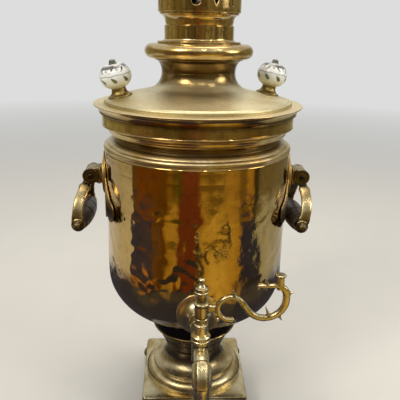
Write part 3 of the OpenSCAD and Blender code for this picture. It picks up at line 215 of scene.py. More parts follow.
# ---- finishes ----
def spun_brass(
    node, place, clean="brass", tarnish=0.4, brightness=0.4, rough=(0.2, 0.13), dust=0.0, soot=(), grime=(), flue=False
):
    """Sheet brass spun on a lathe, long polished and handled: fine rings round the axis, amber clouds of tarnish."""
    broad = cloud(node, place, 46, detail=4, distortion=0.6, stretch=(1, 1, 0.55))
    fine = cloud(node, place, 7, detail=5, roughness=0.65)
    wear = cloud(node, place, 2.2)
    # A lathe's rings, usually some 0.2 mm apart, are too fine to show, so they are drawn coarser, at 0.9 mm
    rings = cloud(node, place, 0.9, detail=2, stretch=(0.02, 0.02, 1))
    heights = [(rings, 0.008), (wear, 0.006)]
    gloss = node("MapRange", broad, 0.3, 0.7, *rough)
    metal = 1.0
    tint = node("Mix", node("MapRange", broad, 0.36 - 0.1 * brightness, 0.62), "amber", clean)
    tint = node("Mix", node("MapRange", fine, 0.52, 0.72, 0.0, tarnish), tint, "umber")
    # Painted shade: each span darkens the brass towards brown, in a crease or join between pieces
    for span_mm in grime:
        tint = height_blend(node, place, tint, "umber", span_mm)
    if flue:
        # The inside of the crown is black from the smoke
        outward = node("VectorMath", place, (1, 1, 0), operation="MULTIPLY")
        outward = node("VectorMath", node("TexCoord", out="Normal"), outward, operation="DOT_PRODUCT")
        tint = node("Mix", node("MapRange", outward, 0.0, -0.02, 0.0, 0.95), tint, "#2a2826")
    if dust:
        # A dusty film and a painted sheen lie on what faces up: paler there, and matt
        up = node("SeparateXYZ", node("TexCoord", out="Normal"), out="Z")
        facing_up = node("MapRange", up, 0.25, 0.9, 0.0, dust)
        tint = node("Mix", facing_up, tint, "dulled")
        gloss = node("Math", facing_up, 0.36, gloss, operation="MULTIPLY_ADD")
    if soot:
        # The round underside is brown black: partly from years over charcoal, partly a painted reflection of a dark
        # table
        # Its ragged edge dips at the sides, and this dip is painted reflection alone
        middle, side, dip, fray = 45 * MM, 85 * MM, 22 * MM, 50 * MM
        height = node("SeparateXYZ", place, out="Z")
        aside = node("Math", node("SeparateXYZ", place, out="X"), operation="ABSOLUTE")
        aside = node("MapRange", aside, middle, side, 0.0, -dip)
        ragged = node("Math", broad, fray, aside, operation="MULTIPLY_ADD")
        level = node("Math", height, ragged, operation="ADD")
        dark_underside = node("MapRange", level, soot[0] * MM + fray / 2, soot[1] * MM + fray / 2, 0.9, 0.0)
        tint = node("Mix", dark_underside, tint, "scorched")
        metal = node("Math", dark_underside, -0.35, 1.0, operation="MULTIPLY_ADD")
        # Dents beaten out by hand leave swells, small facets and crinkles, fully so from 236 mm down
        lower = node("MapRange", height, 272 * MM, 236 * MM)
        swell = cloud(node, place, 24, detail=1, distortion=0.6)
        facets = {"Vector": place, "Scale": 1 / (13 * MM), "Smoothness": 0.5}
        facets = node("TexVoronoi", named=facets, out="Distance", feature="SMOOTH_F1")
        patch = node("MapRange", cloud(node, place, 60, detail=1), 0.45, 0.6)
        crinkle = node("Math", cloud(node, place, 6, distortion=1.2), patch, operation="MULTIPLY")
        for lumps, depth in ((swell, 1.7), (facets, 0.35), (crinkle, 0.22)):
            heights.append((node("Math", lumps, lower, operation="MULTIPLY"), depth))
    end_finish(node, tint, gloss, heights, metal)


def dulled_brass(
    node, place, low="#a08a58", high="dulled", spot="umber", matt=0.0, glint=0.0, smoke=(), soot="scorched"
):
    """Brass that is wiped but not polished: paler and greyer, with brown spots and a satin sheen."""
    broad = cloud(node, place, 30, detail=5, distortion=0.4)
    spots = cloud(node, place, 3.4, detail=4, roughness=0.7)
    grit = cloud(node, place, 0.7, detail=1)
    gloss = node("MapRange", spots, 0.35, 0.7, 0.24 + matt, 0.42 + matt * 0.5)
    tint = node("Mix", node("MapRange", broad, 0.35, 0.65), low, high)
    tint = node("Mix", node("MapRange", spots, 0.6, 0.78, 0.0, 0.5), tint, spot)
    if glint:
        # Pale specks are painted glints, as of worn points that catch the light; darker specks are dusty crumbs
        crumbs_and_glints = cloud(node, place, 1.3, detail=1)
        for limits, shade in (((0.66, 0.72), "#fff4d8"), ((0.34, 0.27), spot)):
            tint = node("Mix", node("MapRange", crumbs_and_glints, *limits, 0.0, glint), tint, shade)
    # Painted shade: between the two heights the colour darkens towards the shade colour
    if smoke:
        tint = height_blend(node, place, tint, soot, smoke)
    if glint and smoke:
        # Nothing dusty stays on the steep part under the painted shade, so it is glossy
        height = node("SeparateXYZ", place, out="Z")
        gloss = node("MapRange", height, smoke[0] * MM, smoke[1] * MM, gloss, 0.2)
    end_finish(node, tint, gloss, [(broad, 0.06), (spots, 0.02), (grit, 0.02 + 0.1 * glint)])


def scorched_brass(node, place):
    """Brass blackened by years over charcoal: near black with brown showing through, satin."""
    broad = cloud(node, place, 22, detail=5, distortion=0.5)
    fine = cloud(node, place, 2.4, detail=4)
    tint = node("Mix", node("MapRange", broad, 0.5, 0.75, 0.0, 0.6), "#363030", "umber")
    end_finish(node, tint, node("MapRange", fine, 0.3, 0.7, 0.22, 0.4), [(fine, 0.03)])


def cast_bronze(node, place, low="scorched", high="bronze", rub=1.0, clean=()):
    """Sand-cast brass gone dark: edges rubbed bright by hands, green salts in the hollows, slightly grainy."""
    worn = node("Attribute", attribute_name="worn", out="Fac")
    broad = cloud(node, place, 12, detail=4)
    # The grain of casting sand, usually some 0.4 mm, is too fine to show, so it is drawn coarser, at 1.6 mm
    fine = cloud(node, place, 1.6, detail=4, roughness=0.65)
    tint = node("Mix", node("MapRange", broad, 0.35, 0.7), low, high)
    green = node("Math", broad, worn, operation="SUBTRACT")
    tint = node("Mix", node("MapRange", green, 0.2, 0.5, 0.0, 0.45), tint, "verdigris")
    rubbed = node("Math", worn, node("Math", fine, 0.35, operation="MULTIPLY"), operation="SUBTRACT")
    tint = node("Mix", node("MapRange", rubbed, 0.2, 0.62, 0.0, rub), tint, "brass")
    # Painted reflection and shade: towards the top the casting turns to the urn's brass; the darker part below is
    # partly painted shade
    if clean:
        tint = height_blend(node, place, tint, "urn_brass", clean)
    gloss = node("MapRange", worn, 0.0, 0.8, 0.52 - 0.1 * rub, 0.42 - 0.16 * rub)
    end_finish(node, tint, gloss, [(fine, 0.05)])


def cast_brass(node, place, low, high, hollow=0.75, grime=(), rough=(0.24, 0.34)):
    """Cast and filed yellow brass: bright, with brown left in the hollows and small filing marks."""
    worn = node("Attribute", attribute_name="worn", out="Fac")
    broad = cloud(node, place, 14, detail=4)
    # File marks, usually some 0.3 mm wide, are too fine to show, so they are drawn coarser, at 1.1 mm
    fine = cloud(node, place, 1.1)
    tint = node("Mix", node("MapRange", broad, 0.35, 0.65), low, high)
    tint = node("Mix", node("MapRange", worn, 0.26, 0.48, hollow, 0.0), tint, "umber")
    # Painted shade: each span darkens the brass towards dark olive brown, where the piece meets another
    for span_mm in grime:
        tint = height_blend(node, place, tint, "#4f4630", span_mm, 0.9)
    end_finish(node, tint, node("MapRange", fine, 0.3, 0.7, *rough), [(broad, 0.03), (fine, 0.004)])


def glazed_porcelain(node, place):
    """Fired white porcelain under a clear glaze, with a line-and-leaf sprig painted by hand."""
    ink, leaf, wash = (node("Attribute", attribute_name=name, out="Fac") for name in ("ink", "leaf", "wash"))
    mottle = cloud(node, place, 5, detail=2)
    # The streaks of a brush, usually some 0.2 mm, are too fine to show, so they are drawn coarser, at 0.8 mm
    streaks = cloud(node, place, 0.8, detail=2)
    tint = node("Mix", node("MapRange", mottle, 0.4, 0.75, 0.0, 0.25), "glaze", "#d5d2c2")
    # Painted reflection of the brass foot: the glaze turns creamier towards its foot
    tint = height_blend(node, place, tint, "#d3caa0", (KNOB_FLAT * 1.1, KNOB_FLAT * 0.2))
    dry = node("Math", ink, node("MapRange", streaks, 0.3, 0.6, 0.7, 1.0), operation="MULTIPLY")
    for layer, shade in ((wash, "#7f827c"), (leaf, "leaf"), (dry, "ink")):
        tint = node("Mix", layer, tint, shade)
    gloss = node("MapRange", mottle, 0.3, 0.7, 0.08, 0.16)
    end_finish(node, tint, gloss, [(mottle, 0.05)], metal=0.0, coat=(0.6, 0.04))


def stained_wood(node, place):
    """Turned hardwood, stained almost black and rubbed with oil: grain along the grip, satin."""
    # The pores of wood, usually some 0.3 mm wide, are too fine to show, so they are drawn coarser, at 1.1 mm
    grain = cloud(node, place, 1.1, detail=5, stretch=(1, 0.08, 1))
    broad = cloud(node, place, 9, stretch=(1, 0.3, 1))
    tint = node("Mix", node("MapRange", grain, 0.35, 0.7), "wood", "#54432f")
    tint = node("Mix", node("MapRange", broad, 0.45, 0.7, 0.0, 0.6), tint, "#18110e")
    gloss = node("MapRange", grain, 0.3, 0.7, 0.4, 0.56)
    end_finish(node, tint, gloss, [(grain, 0.06)], metal=0.0, coat=(0.12, 0.3))


def plain_iron(node, place):
    """Grey iron with a thin brown oxide, matt and slightly pitted."""
    rust = cloud(node, place, 4, detail=5, roughness=0.7)
    pits = cloud(node, place, 0.8)
    tint = node("Mix", node("MapRange", rust, 0.55, 0.8, 0.0, 0.5), "iron", "#4b3d30")
    end_finish(node, tint, node("MapRange", rust, 0.3, 0.7, 0.38, 0.6), [(pits, 0.05)])


WAIST, JOINT, RIM = span("lid_neck")[0], span("neck_band")[0], span("neck_band")[1]
FINISHES = {
    # The urn's dark underside is partly from the fire and partly painted reflection
    "body_brass": ("Spun brass, urn", spun_brass, {
        "clean": "urn_brass", "brightness": 0.2, "rough": (0.09, 0.05), "soot": (148, 166),
    }),
    "bright_brass": ("Spun brass, bright", spun_brass, {}),
    # The rim is paler on top from a dusty film and a painted sheen, and darker at its foot from painted shade
    "rim_brass": ("Spun brass, dust on top", spun_brass, {"dust": 0.8, "grime": ((RIM + 5, RIM + 1),)}),
    "crown_brass": ("Spun brass, crown", spun_brass, {
        "tarnish": 0.5, "brightness": 0.3, "rough": (0.22, 0.15), "flue": True,
    }),
    # Painted shade at the foot of the lid's neck
    "neck_brass": ("Spun brass, lid neck", spun_brass, {"rough": (0.28, 0.2), "grime": ((WAIST + 14, WAIST + 10),)}),
    # Painted shade at both ends of the band, next to the shoulder and the ring
    "band_brass": ("Spun brass, band", spun_brass, {"grime": ((JOINT + 5, JOINT), (RIM - 5, RIM - 0.5))}),
    # Painted shade along the top of the shoulder, next to the band
    "shoulder_brass": ("Spun brass, shoulder", spun_brass, {
        "clean": "dulled", "tarnish": 0.3, "brightness": 0.5, "rough": (0.4, 0.32), "grime": ((JOINT - 4, JOINT - 1),),
    }),
    "dull_brass": ("Dulled brass", dulled_brass, {}),
    # Lid: paleness partly dusty film, partly painted reflection; pale specks are painted glints; the upper sweep has
    # painted shade
    "dusty_brass": ("Dusty brass, lid", dulled_brass, {
        "low": "#c6b88e", "high": "#dad0ac", "spot": "amber", "matt": 0.16, "glint": 0.6,
        "smoke": (WAIST - 13.5, WAIST - 9), "soot": "#7b6436",
    }),
    # Painted shade: the stem darkens towards the scorched colour near its top, under the drum
    "smoked_brass": ("Smoked brass, stem", dulled_brass, {"smoke": (38, 50)}),
    "dark_bronze": ("Scorched brass", scorched_brass, {}),
    # Painted reflection on the shield's top and painted shade on its lower part
    "green_bronze": ("Cast bronze, weathered", cast_bronze, {"rub": 0.15, "clean": (Z_PIN - 26, Z_PIN - 14)}),
    "cap_bronze": ("Cast bronze, caps", cast_bronze, {"rub": 0.12}),
    "block_bronze": ("Cast bronze, brackets", cast_bronze, {"low": "#5f5338", "high": "#94835a", "rub": 0.45}),
    # Painted shade at both ends of each arm, by the eye and by the grip
    "arm_brass": ("Cast brass, worn satin", cast_brass, {
        "low": "#a8935e", "high": "#d8c798", "hollow": 0.85,
        "grime": ((Z_PIN - 11, Z_PIN - 7), (Z_PIN - 34, Z_PIN - 39)),
    }),
    "tap_brass": ("Cast brass, filed", cast_brass, {"low": "#cabb8c", "high": "#e9dfba"}),
    "key_brass": ("Cast brass, handled", cast_brass, {"low": "#a0946e", "high": "#d3c9a4", "rough": (0.24, 0.32)}),
    "flare_brass": ("Cast brass, turned", cast_brass, {"low": "#c4b385", "high": "#e0d5b0", "hollow": 0.2}),
    "foot_brass": ("Cast brass, dull", cast_brass, {
        "low": "#8f7d48", "high": "#b5a266", "hollow": 0.3, "rough": (0.36, 0.46),
    }),
    "porcelain": ("Painted porcelain", glazed_porcelain, {}),
    "wood": ("Stained hardwood", stained_wood, {}),
    "iron": ("Grey iron", plain_iron, {}),
}


def finish(name):
    """The named finish, made when it is first asked for."""
    label, maker, settings = FINISHES[name]
    if label not in bpy.data.materials:
        maker(*new_finish(label), **settings)
    return bpy.data.materials[label]


# ---- outlines ----
def arc(cx, cz, rx, rz, start, end, steps=14):
    """Points on an ellipse's arc, in degrees."""
    angles = [math.radians(start + (end - start) * i / steps) for i in range(steps + 1)]
    return [(cx + rx * math.cos(a), cz + rz * math.sin(a)) for a in angles]


def soften(points, radius, closed=True):
    """Rounds the sharp corners of an outline, with a short stretch kept beside each round so flats stay flat."""
    points = [p for i, p in enumerate(points) if i == 0 or math.dist(p, points[i - 1]) > 1e-4]
    if closed and math.dist(points[0], points[-1]) < 1e-4:
        points.pop()
    made, count = [], len(points)
    for i, point in enumerate(points):
        if not closed and i in (0, count - 1):
            made.append(point)
            continue
        before, here, after = (np.array(points[(i + k) % count], float) for k in (-1, 0, 1))
        back, on = before - here, after - here
        lb, lo = np.linalg.norm(back), np.linalg.norm(on)
        back, on = back / lb, on / lo
        turn = math.pi - math.acos(max(-1, min(1, float(back @ on))))
        if turn < math.radians(22) or here[0] < 1e-6:
            made.append(tuple(here))
            continue
        reach = min(radius * math.tan(turn / 2), 0.42 * min(lb, lo))
        stay = min(0.25, 0.3 * (0.5 * min(lb, lo) - reach)) if min(lb, lo) * 0.5 > reach else 0
        start, stop = here + back * reach, here + on * reach
        if stay > 0.01:
            made.append(tuple(start + back * stay))
        for k in range(6):
            t = k / 5
            made.append(tuple((1 - t) ** 2 * start + 2 * t * (1 - t) * here + t * t * stop))
        if stay > 0.01:
            made.append(tuple(stop + on * stay))
    return made


def fill_steps(points, longest, closed=True):
    """Splits the long stretches of an outline."""
    made, count = [], len(points)
    for i in range(count if closed else count - 1):
        a, b = np.array(points[i], float), np.array(points[(i + 1) % count], float)
        parts = max(1, math.ceil(np.linalg.norm(b - a) / longest))
        made += [tuple(a + (b - a) * k / parts) for k in range(parts)]
    if not closed:
        made.append(points[-1])
    return made


# ---- meshes ----
def linked(name, data):
    """A new object of the scene, with its data."""
    made = bpy.data.objects.new(name, data)
    bpy.context.scene.collection.objects.link(made)
    return made


def new_object(name, verts, faces):
    """A smooth object from points in metres. Its faces all look outwards."""
    mesh = bpy.data.meshes.new(name)
    mesh.from_pydata([tuple(v) for v in verts], [], faces)
    made = linked(name, mesh)
    tidy(made)
    return made


def tidy(made, merge=1e-7):
    """Welds, turns the faces outwards and shades smooth."""
    bm = bmesh.new()
    bm.from_mesh(made.data)
    bmesh.ops.remove_doubles(bm, verts=bm.verts, dist=merge)
    bmesh.ops.dissolve_degenerate(bm, dist=merge, edges=bm.edges)
    bmesh.ops.recalc_face_normals(bm, faces=bm.faces)
    for face in bm.faces:
        face.smooth = True
    bm.to_mesh(made.data)
    bm.free()


def ring_mesh(outline, turns, shift=None):
    """Points and faces of a closed outline (radius, height in mm) turned about Z."""
    verts, faces, rings = [], [], []
    for r, z in outline:
        if r < 1e-6:
            rings.append([len(verts)])
            verts.append((0.0, 0.0, z * MM))
            continue
        rings.append(list(range(len(verts), len(verts) + turns)))
        for k in range(turns):
            a = 2 * math.pi * k / turns
            radius = r + (shift(r, a, z) if shift else 0.0)
            verts.append((radius * math.cos(a) * MM, radius * math.sin(a) * MM, z * MM))
    for i, low in enumerate(rings):
        high = rings[(i + 1) % len(rings)]
        if len(low) == 1 and len(high) == 1:
            continue
        for k in range(turns):
            n = (k + 1) % turns
            if len(low) == 1:
                faces.append((low[0], high[k], high[n]))
            elif len(high) == 1:
                faces.append((low[k], high[0], low[n]))
            else:
                faces.append((low[k], low[n], high[n], high[k]))
    return verts, faces


def turned(name, outline, round_mm=None, longest=6.0, turns=None, shift=None, matrix=None):
    """A piece turned on a lathe, its corners softened. matrix places it, in metres."""
    sizes = bpy.context.scene.samovar_sizes
    radius = sizes.edge_round / MM if round_mm is None else round_mm
    points = fill_steps(soften(outline, radius), longest)
    verts, faces = ring_mesh(points, turns or sizes.turns, shift)
    if matrix is not None:
        verts = [matrix @ Vector(v) for v in verts]
    return new_object(name, verts, faces)


def merge_objects(name, parts):
    """Several closed shells as one object."""
    bm = bmesh.new()
    for part in parts:
        bm.from_mesh(part.data)
        bpy.data.objects.remove(part)
    mesh = bpy.data.meshes.new(name)
    bm.to_mesh(mesh)
    bm.free()
    return linked(name, mesh)


def crisp(made, degrees=32):
    """Keeps edges that turn more than this looking sharp."""
    bm = bmesh.new()
    bm.from_mesh(made.data)
    for edge in bm.edges:
        edge.smooth = len(edge.link_faces) != 2 or edge.calc_face_angle(0) < math.radians(degrees)
    bm.to_mesh(made.data)
    bm.free()


def settle(made):
    """Applies the object's modifiers to its mesh."""
    bpy.context.view_layer.update()
    graph = bpy.context.evaluated_depsgraph_get()
    mesh = bpy.data.meshes.new_from_object(made.evaluated_get(graph))
    made.modifiers.clear()
    made.data = mesh
    for polygon in mesh.polygons:
        polygon.use_smooth = True


def shape_with(made, tool, operation):
    """Joins or cuts with another closed object, which is used up."""
    modifier = made.modifiers.new("shape", "BOOLEAN")
    modifier.operation, modifier.solver, modifier.object = operation, "EXACT", tool
    settle(made)
    bpy.data.objects.remove(tool)


def bore(made, r, low, high, turns, matrix):
    """Cuts a round hole along the place's own Z, in mm."""
    tool = turned("hole", [(0, low), (r, low), (r, high), (0, high)], 0, turns=turns, matrix=matrix)
    shape_with(made, tool, "DIFFERENCE")


def cast_together(name, parts, grain, smooth=4):
    """Melts overlapping shells into one casting with soft inner corners."""
    made = merge_objects(name, parts)
    remesh = made.modifiers.new("cast", "REMESH")
    remesh.mode, remesh.voxel_size, remesh.use_smooth_shade = "VOXEL", grain, True
    relax = made.modifiers.new("relax", "SMOOTH")
    relax.factor, relax.iterations = 0.5, smooth
    settle(made)
    return made


def mark_wear(made, reach):
    """Stores how far each point stands out of its neighbourhood, from 0 in hollows to 1 on edges.
    reach is the number of times that it is averaged with its neighbours."""
    mesh = made.data
    count = len(mesh.vertices)
    points, normals = np.zeros(count * 3, np.float32), np.zeros(count * 3, np.float32)
    mesh.vertices.foreach_get("co", points)
    mesh.vertices.foreach_get("normal", normals)
    points, normals = points.reshape(-1, 3), normals.reshape(-1, 3)
    ends = np.zeros(len(mesh.edges) * 2, np.int32)
    mesh.edges.foreach_get("vertices", ends)
    ends = ends.reshape(-1, 2)
    way = points[ends[:, 1]] - points[ends[:, 0]]
    length = np.linalg.norm(way, axis=1) + 1e-9
    way = way / length[:, None]
    bend, share = np.zeros(count), np.zeros(count)
    np.add.at(bend, ends[:, 0], -(normals[ends[:, 0]] * way).sum(1))
    np.add.at(bend, ends[:, 1], (normals[ends[:, 1]] * way).sum(1))
    np.add.at(share, ends.ravel(), 1)
    bend = bend / np.maximum(share, 1)
    for _ in range(reach):
        total = np.zeros(count)
        np.add.at(total, ends[:, 0], bend[ends[:, 1]])
        np.add.at(total, ends[:, 1], bend[ends[:, 0]])
        bend = 0.5 * bend + 0.5 * total / np.maximum(share, 1)
    scale = np.percentile(np.abs(bend), 92) + 1e-9
    level = np.clip(0.35 + 0.5 * bend / scale, 0, 1)
    attribute = mesh.attributes.new("worn", "FLOAT", "POINT")
    attribute.data.foreach_set("value", level.astype(np.float32))


SAME = 1e-6  # places nearer than this, in mm, are one place


def inside(point, loop):
    """Is a flat point inside a closed loop?"""
    x, y = point
    found = False
    for (x0, y0), (x1, y1) in zip(loop, loop[1:] + loop[:1]):
        if (y0 > y) != (y1 > y) and x < (x1 - x0) * (y - y0) / (y1 - y0) + x0:
            found = not found
    return found


def moved_loop(loop, amount):
    """A closed loop moved sideways: to its left by a positive amount."""
    count = len(loop)
    made = []
    for i in range(count):
        a, b, c = (np.array(loop[(i + k) % count], float) for k in (-1, 0, 1))
        d0, d1 = (b - a) / (np.linalg.norm(b - a) + 1e-9), (c - b) / (np.linalg.norm(c - b) + 1e-9)
        n = np.array([-(d0 + d1)[1], (d0 + d1)[0]])
        length = np.linalg.norm(n)
        n = n / length if length > 1e-6 else np.array([-d0[1], d0[0]])
        made.append(tuple(b + n * amount / max(0.5, math.sqrt(max(0.0, (1 + float(d0 @ d1)) / 2)))))
    return made


def area_of(loop):
    return 0.5 * sum(a[0] * b[1] - b[0] * a[1] for a, b in zip(loop, loop[1:] + loop[:1]))


def plate(name, outer, holes, thick, bevel, spacing, wrap, seam=None):
    """A sheet with rounded edges and holes, cut flat in mm and wrapped into place by wrap(u, v, depth).
    depth runs from 0 on the face to thick on the back. seam is (low u, high u) of a sheet that closes on itself."""
    outer = outer if area_of(outer) > 0 else outer[::-1]
    holes = [h if area_of(h) < 0 else h[::-1] for h in holes]
    loops = [outer] + holes
    quarter = (0, math.pi / 6, math.pi / 3, math.pi / 2)
    levels = [(bevel * (1 - math.sin(t)), bevel * (1 - math.cos(t))) for t in quarter]
    rings = [(side, depth) for side, depth in levels] + [(side, thick - depth) for side, depth in levels[::-1]]

    def shrink(loop, amount):
        made = moved_loop(loop, amount)
        return [(a[0], b[1]) for a, b in zip(loop, made)] if seam and loop is outer else made

    def in_sheet(p):
        return inside(p, faces_of[0]) and not any(inside(p, hole) for hole in faces_of[1:])

    faces_of = [shrink(loop, bevel) for loop in loops]
    flat, edges = [], []
    for loop in faces_of:
        start = len(flat)
        flat += loop
        edges += [(start + i, start + (i + 1) % len(loop)) for i in range(len(loop))]
    us, vs = [p[0] for p in outer], [p[1] for p in outer]
    rim = np.array(flat)
    for i in range(int((max(us) - min(us)) / spacing) + 1):
        for j in range(int((max(vs) - min(vs)) / spacing) + 1):
            p = (min(us) + (i + 0.5 + 0.5 * (j % 2)) * spacing, min(vs) + (j + 0.5) * spacing)
            if np.min(np.hypot(rim[:, 0] - p[0], rim[:, 1] - p[1])) < spacing * 0.55:
                continue
            if in_sheet(p):
                flat.append(p)
    out = delaunay_2d_cdt([Vector(p) for p in flat], edges, [], 0, 1e-7, True)
    points = [tuple(p) for p in out[0]]
    triangles = []
    for triangle in out[2]:
        if in_sheet(tuple(sum(points[i][k] for i in triangle) / 3 for k in (0, 1))):
            triangles.append(tuple(triangle))
    verts = [wrap(u, v, 0.0) for u, v in points] + [wrap(u, v, thick) for u, v in points]
    faces = triangles + [tuple(len(points) + i for i in t[::-1]) for t in triangles]
    for loop in loops:
        strips = []
        for side, depth in rings:
            moved = shrink(loop, side)
            strips.append(list(range(len(verts), len(verts) + len(moved))))
            verts += [wrap(u, v, depth) for u, v in moved]
        for low, high in zip(strips, strips[1:]):
            for i in range(len(loop)):
                n = (i + 1) % len(loop)
                (u0, v0), (u1, v1) = loop[i], loop[n]
                at_seam = seam and loop is outer and min(abs(u0 - u) for u in seam) < SAME
                if at_seam and abs(u0 - u1) < SAME < abs(v0 - v1):
                    continue
                faces.append((low[i], high[i], high[n], low[n]))
    made = new_object(name, [tuple(c * MM for c in v) for v in verts], faces)
    tidy(made, 2e-6)
    return made


def rolled_wall(name, low_u, z, top, r, steps, rows, holes, bevel, spacing):
    """A pierced sheet rolled round the axis and closed on itself. low_u is the place of its seam along the round."""
    length = 2 * math.pi * r
    outer = [(low_u + length * i / steps, z) for i in range(steps)]
    outer += [(low_u + length, z + (top - z) * i / rows) for i in range(rows)]
    outer += [(low_u + length * (1 - i / steps), top) for i in range(steps)]
    outer += [(low_u, top - (top - z) * i / rows) for i in range(rows)]

    def wrap(u, v, d):
        return (r - d) * math.sin(u / r), -(r - d) * math.cos(u / r), v

    return plate(name, outer, holes, WALL, bevel, spacing, wrap, seam=(low_u, low_u + length))


def bar(name, path, widths, thicks, side, sides=20, square=2.4, caps=True):
    """A rounded bar along a path in mm. widths and thicks are half sizes along side and across it, at each point or
    one for all. square is 2 for a round bar and more for a squarer one."""
    path = np.array(path, float)
    widths, thicks = (np.full(len(path), a, float) for a in (widths, thicks))
    tangents = np.gradient(path, axis=0)
    tangents /= np.linalg.norm(tangents, axis=1)[:, None]
    if caps:
        # Four smaller rings round off each end
        steps = [math.radians(a) for a in (12, 35, 60, 90)]
        shares = [math.sin(s) for s in steps]
        low, high = (
            [path[i] + sign * tangents[i] * min(widths[i], thicks[i]) * math.cos(s) for s in steps]
            for i, sign in ((0, -1), (-1, 1))
        )
        path = np.array(low + list(path) + high[::-1])
        widths, thicks = (
            np.array([a[0] * k for k in shares] + list(a) + [a[-1] * k for k in shares[::-1]]) for a in (widths, thicks)
        )
        tangents = np.array([tangents[0]] * 4 + list(tangents) + [tangents[-1]] * 4)
    verts, faces = [], []
    for p, t, w, h in zip(path, tangents, widths, thicks):
        across = np.array(side, float) - t * float(np.dot(side, t))
        across /= np.linalg.norm(across)
        other = np.cross(t, across)
        for k in range(sides):
            a = 2 * math.pi * k / sides
            c, s = math.cos(a), math.sin(a)
            u = math.copysign(abs(c) ** (2 / square), c) * w
            v = math.copysign(abs(s) ** (2 / square), s) * h
            verts.append(tuple((p + across * u + other * v) * MM))
    rows = len(path)
    for i in range(rows - 1):
        for k in range(sides):
            n = (k + 1) % sides
            faces.append((i * sides + k, i * sides + n, (i + 1) * sides + n, (i + 1) * sides + k))
    faces.append(tuple(range(sides)))
    faces.append(tuple(range(rows * sides - 1, (rows - 1) * sides - 1, -1)))
    return new_object(name, verts, faces)


def place_piece(made, node, look, wear=0):
    """Gives a piece its finish, and lets it stand for its frame node. wear is how far its worn edges reach."""
    if wear:
        mark_wear(made, wear)
    made.data.materials.clear()
    made.data.materials.append(finish(look))
    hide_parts(node)
    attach(made, BODY_OF[node])


def dress_node(node, look):
    """Keeps a frame node's own shape and gives it a finish."""
    shown = frame["nodes"][node]
    shown.data.materials.clear()
    shown.data.materials.append(finish(look))


def circle_loop(cx, cy, r, steps=24):
    turns = [2 * math.pi * k / steps for k in range(steps)]
    return [(cx + r * math.cos(a), cy + r * math.sin(a)) for a in turns]


def at_mm(x, y, z):
    return Matrix.Translation(Vector((x, y, z)) * MM)


def along_y(x, y, z):
    """Turns a piece made about Z so that its axis runs along +Y from (x, y, z) in mm."""
    return at_mm(x, y, z) @ Matrix.Rotation(math.radians(-90), 4, "X")


def towards_tap(y, z):
    """Turns a piece made about Z so that its axis runs along -Y from (0, y, z) in mm."""
    return at_mm(0, y, z) @ Matrix.Rotation(math.radians(90), 4, "X")


# ---- base and pedestal ----
class SAMOVAR_OT_pedestal(bpy.types.Operator):
    """Builds the feet, the square plate, the skirt and the stem"""

    bl_idname = "samovar.pedestal"
    bl_label = "Build Pedestal"

    def execute(self, context):
        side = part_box("base_plate")[1].x / MM
        low, high, _ = span("base_plate")
        corner = side - 4
        outer = []
        for k, (cx, cy) in enumerate(((corner, corner), (-corner, corner), (-corner, -corner), (corner, -corner))):
            outer += arc(cx, cy, 4, 4, 90 * k, 90 * k + 90, 6)
        outer = fill_steps(outer, 4)
        air_hole = circle_loop(0, 0, 24, 72)
        made = plate("square_base", outer, [air_hole], high - low, 0.9, 5, lambda u, v, d: (u, v, high - d))
        place_piece(made, "base_plate", "dull_brass")

        foot_h = span("feet")[1]
        foot = (
            [(0, 0), (6.4, 0)]
            + arc(4.5, 8.4, 6, 6, -62, 62)
            + [(6.4, 14.4), (5.6, 16.4), (7.0, 17.6), (7.0, foot_h), (0, foot_h)]
        )
        out = side - 6
        feet = [turned("foot", foot, turns=72, matrix=at_mm(x, y, 0)) for x in (-out, out) for y in (-out, out)]
        place_piece(merge_objects("cast_feet", feet), "feet", "dull_brass")

        z, top, r = span("pedestal_skirt")
        skirt = (
            [(r, z), (r, z + 3.6)]
            + arc(r - 8.4, z + 3.6, 8, 8, 0, 84)
            + [(45.2, top - 1.4), (45.2, top), (41.7, top), (41.7, top - 3), (45.8, top - 3)]
            + [(r - WALL, z + 3.6), (r - WALL, z)]
        )
        place_piece(turned("moulded_skirt", skirt), "pedestal_skirt", "dull_brass")

        z, top, _ = span("pedestal_stem")
        stem = (
            [(45, z), (45, z + 1.6)]
            + arc(45, z + 16.6, 15, 15, 260, 180, 20)
            + [(30, z + 19)]
            + arc(38, z + 19, 8, 8, 180, 142, 8)
            + [(33, top), (31.4, top), (28.4, top - 5)]
            + arc(45, z + 16.6, 16.6, 16.6, 180, 250, 12)
            + [(39, z)]
        )
        place_piece(turned("waisted_stem", stem), "pedestal_stem", "smoked_brass")
        return {"FINISHED"}


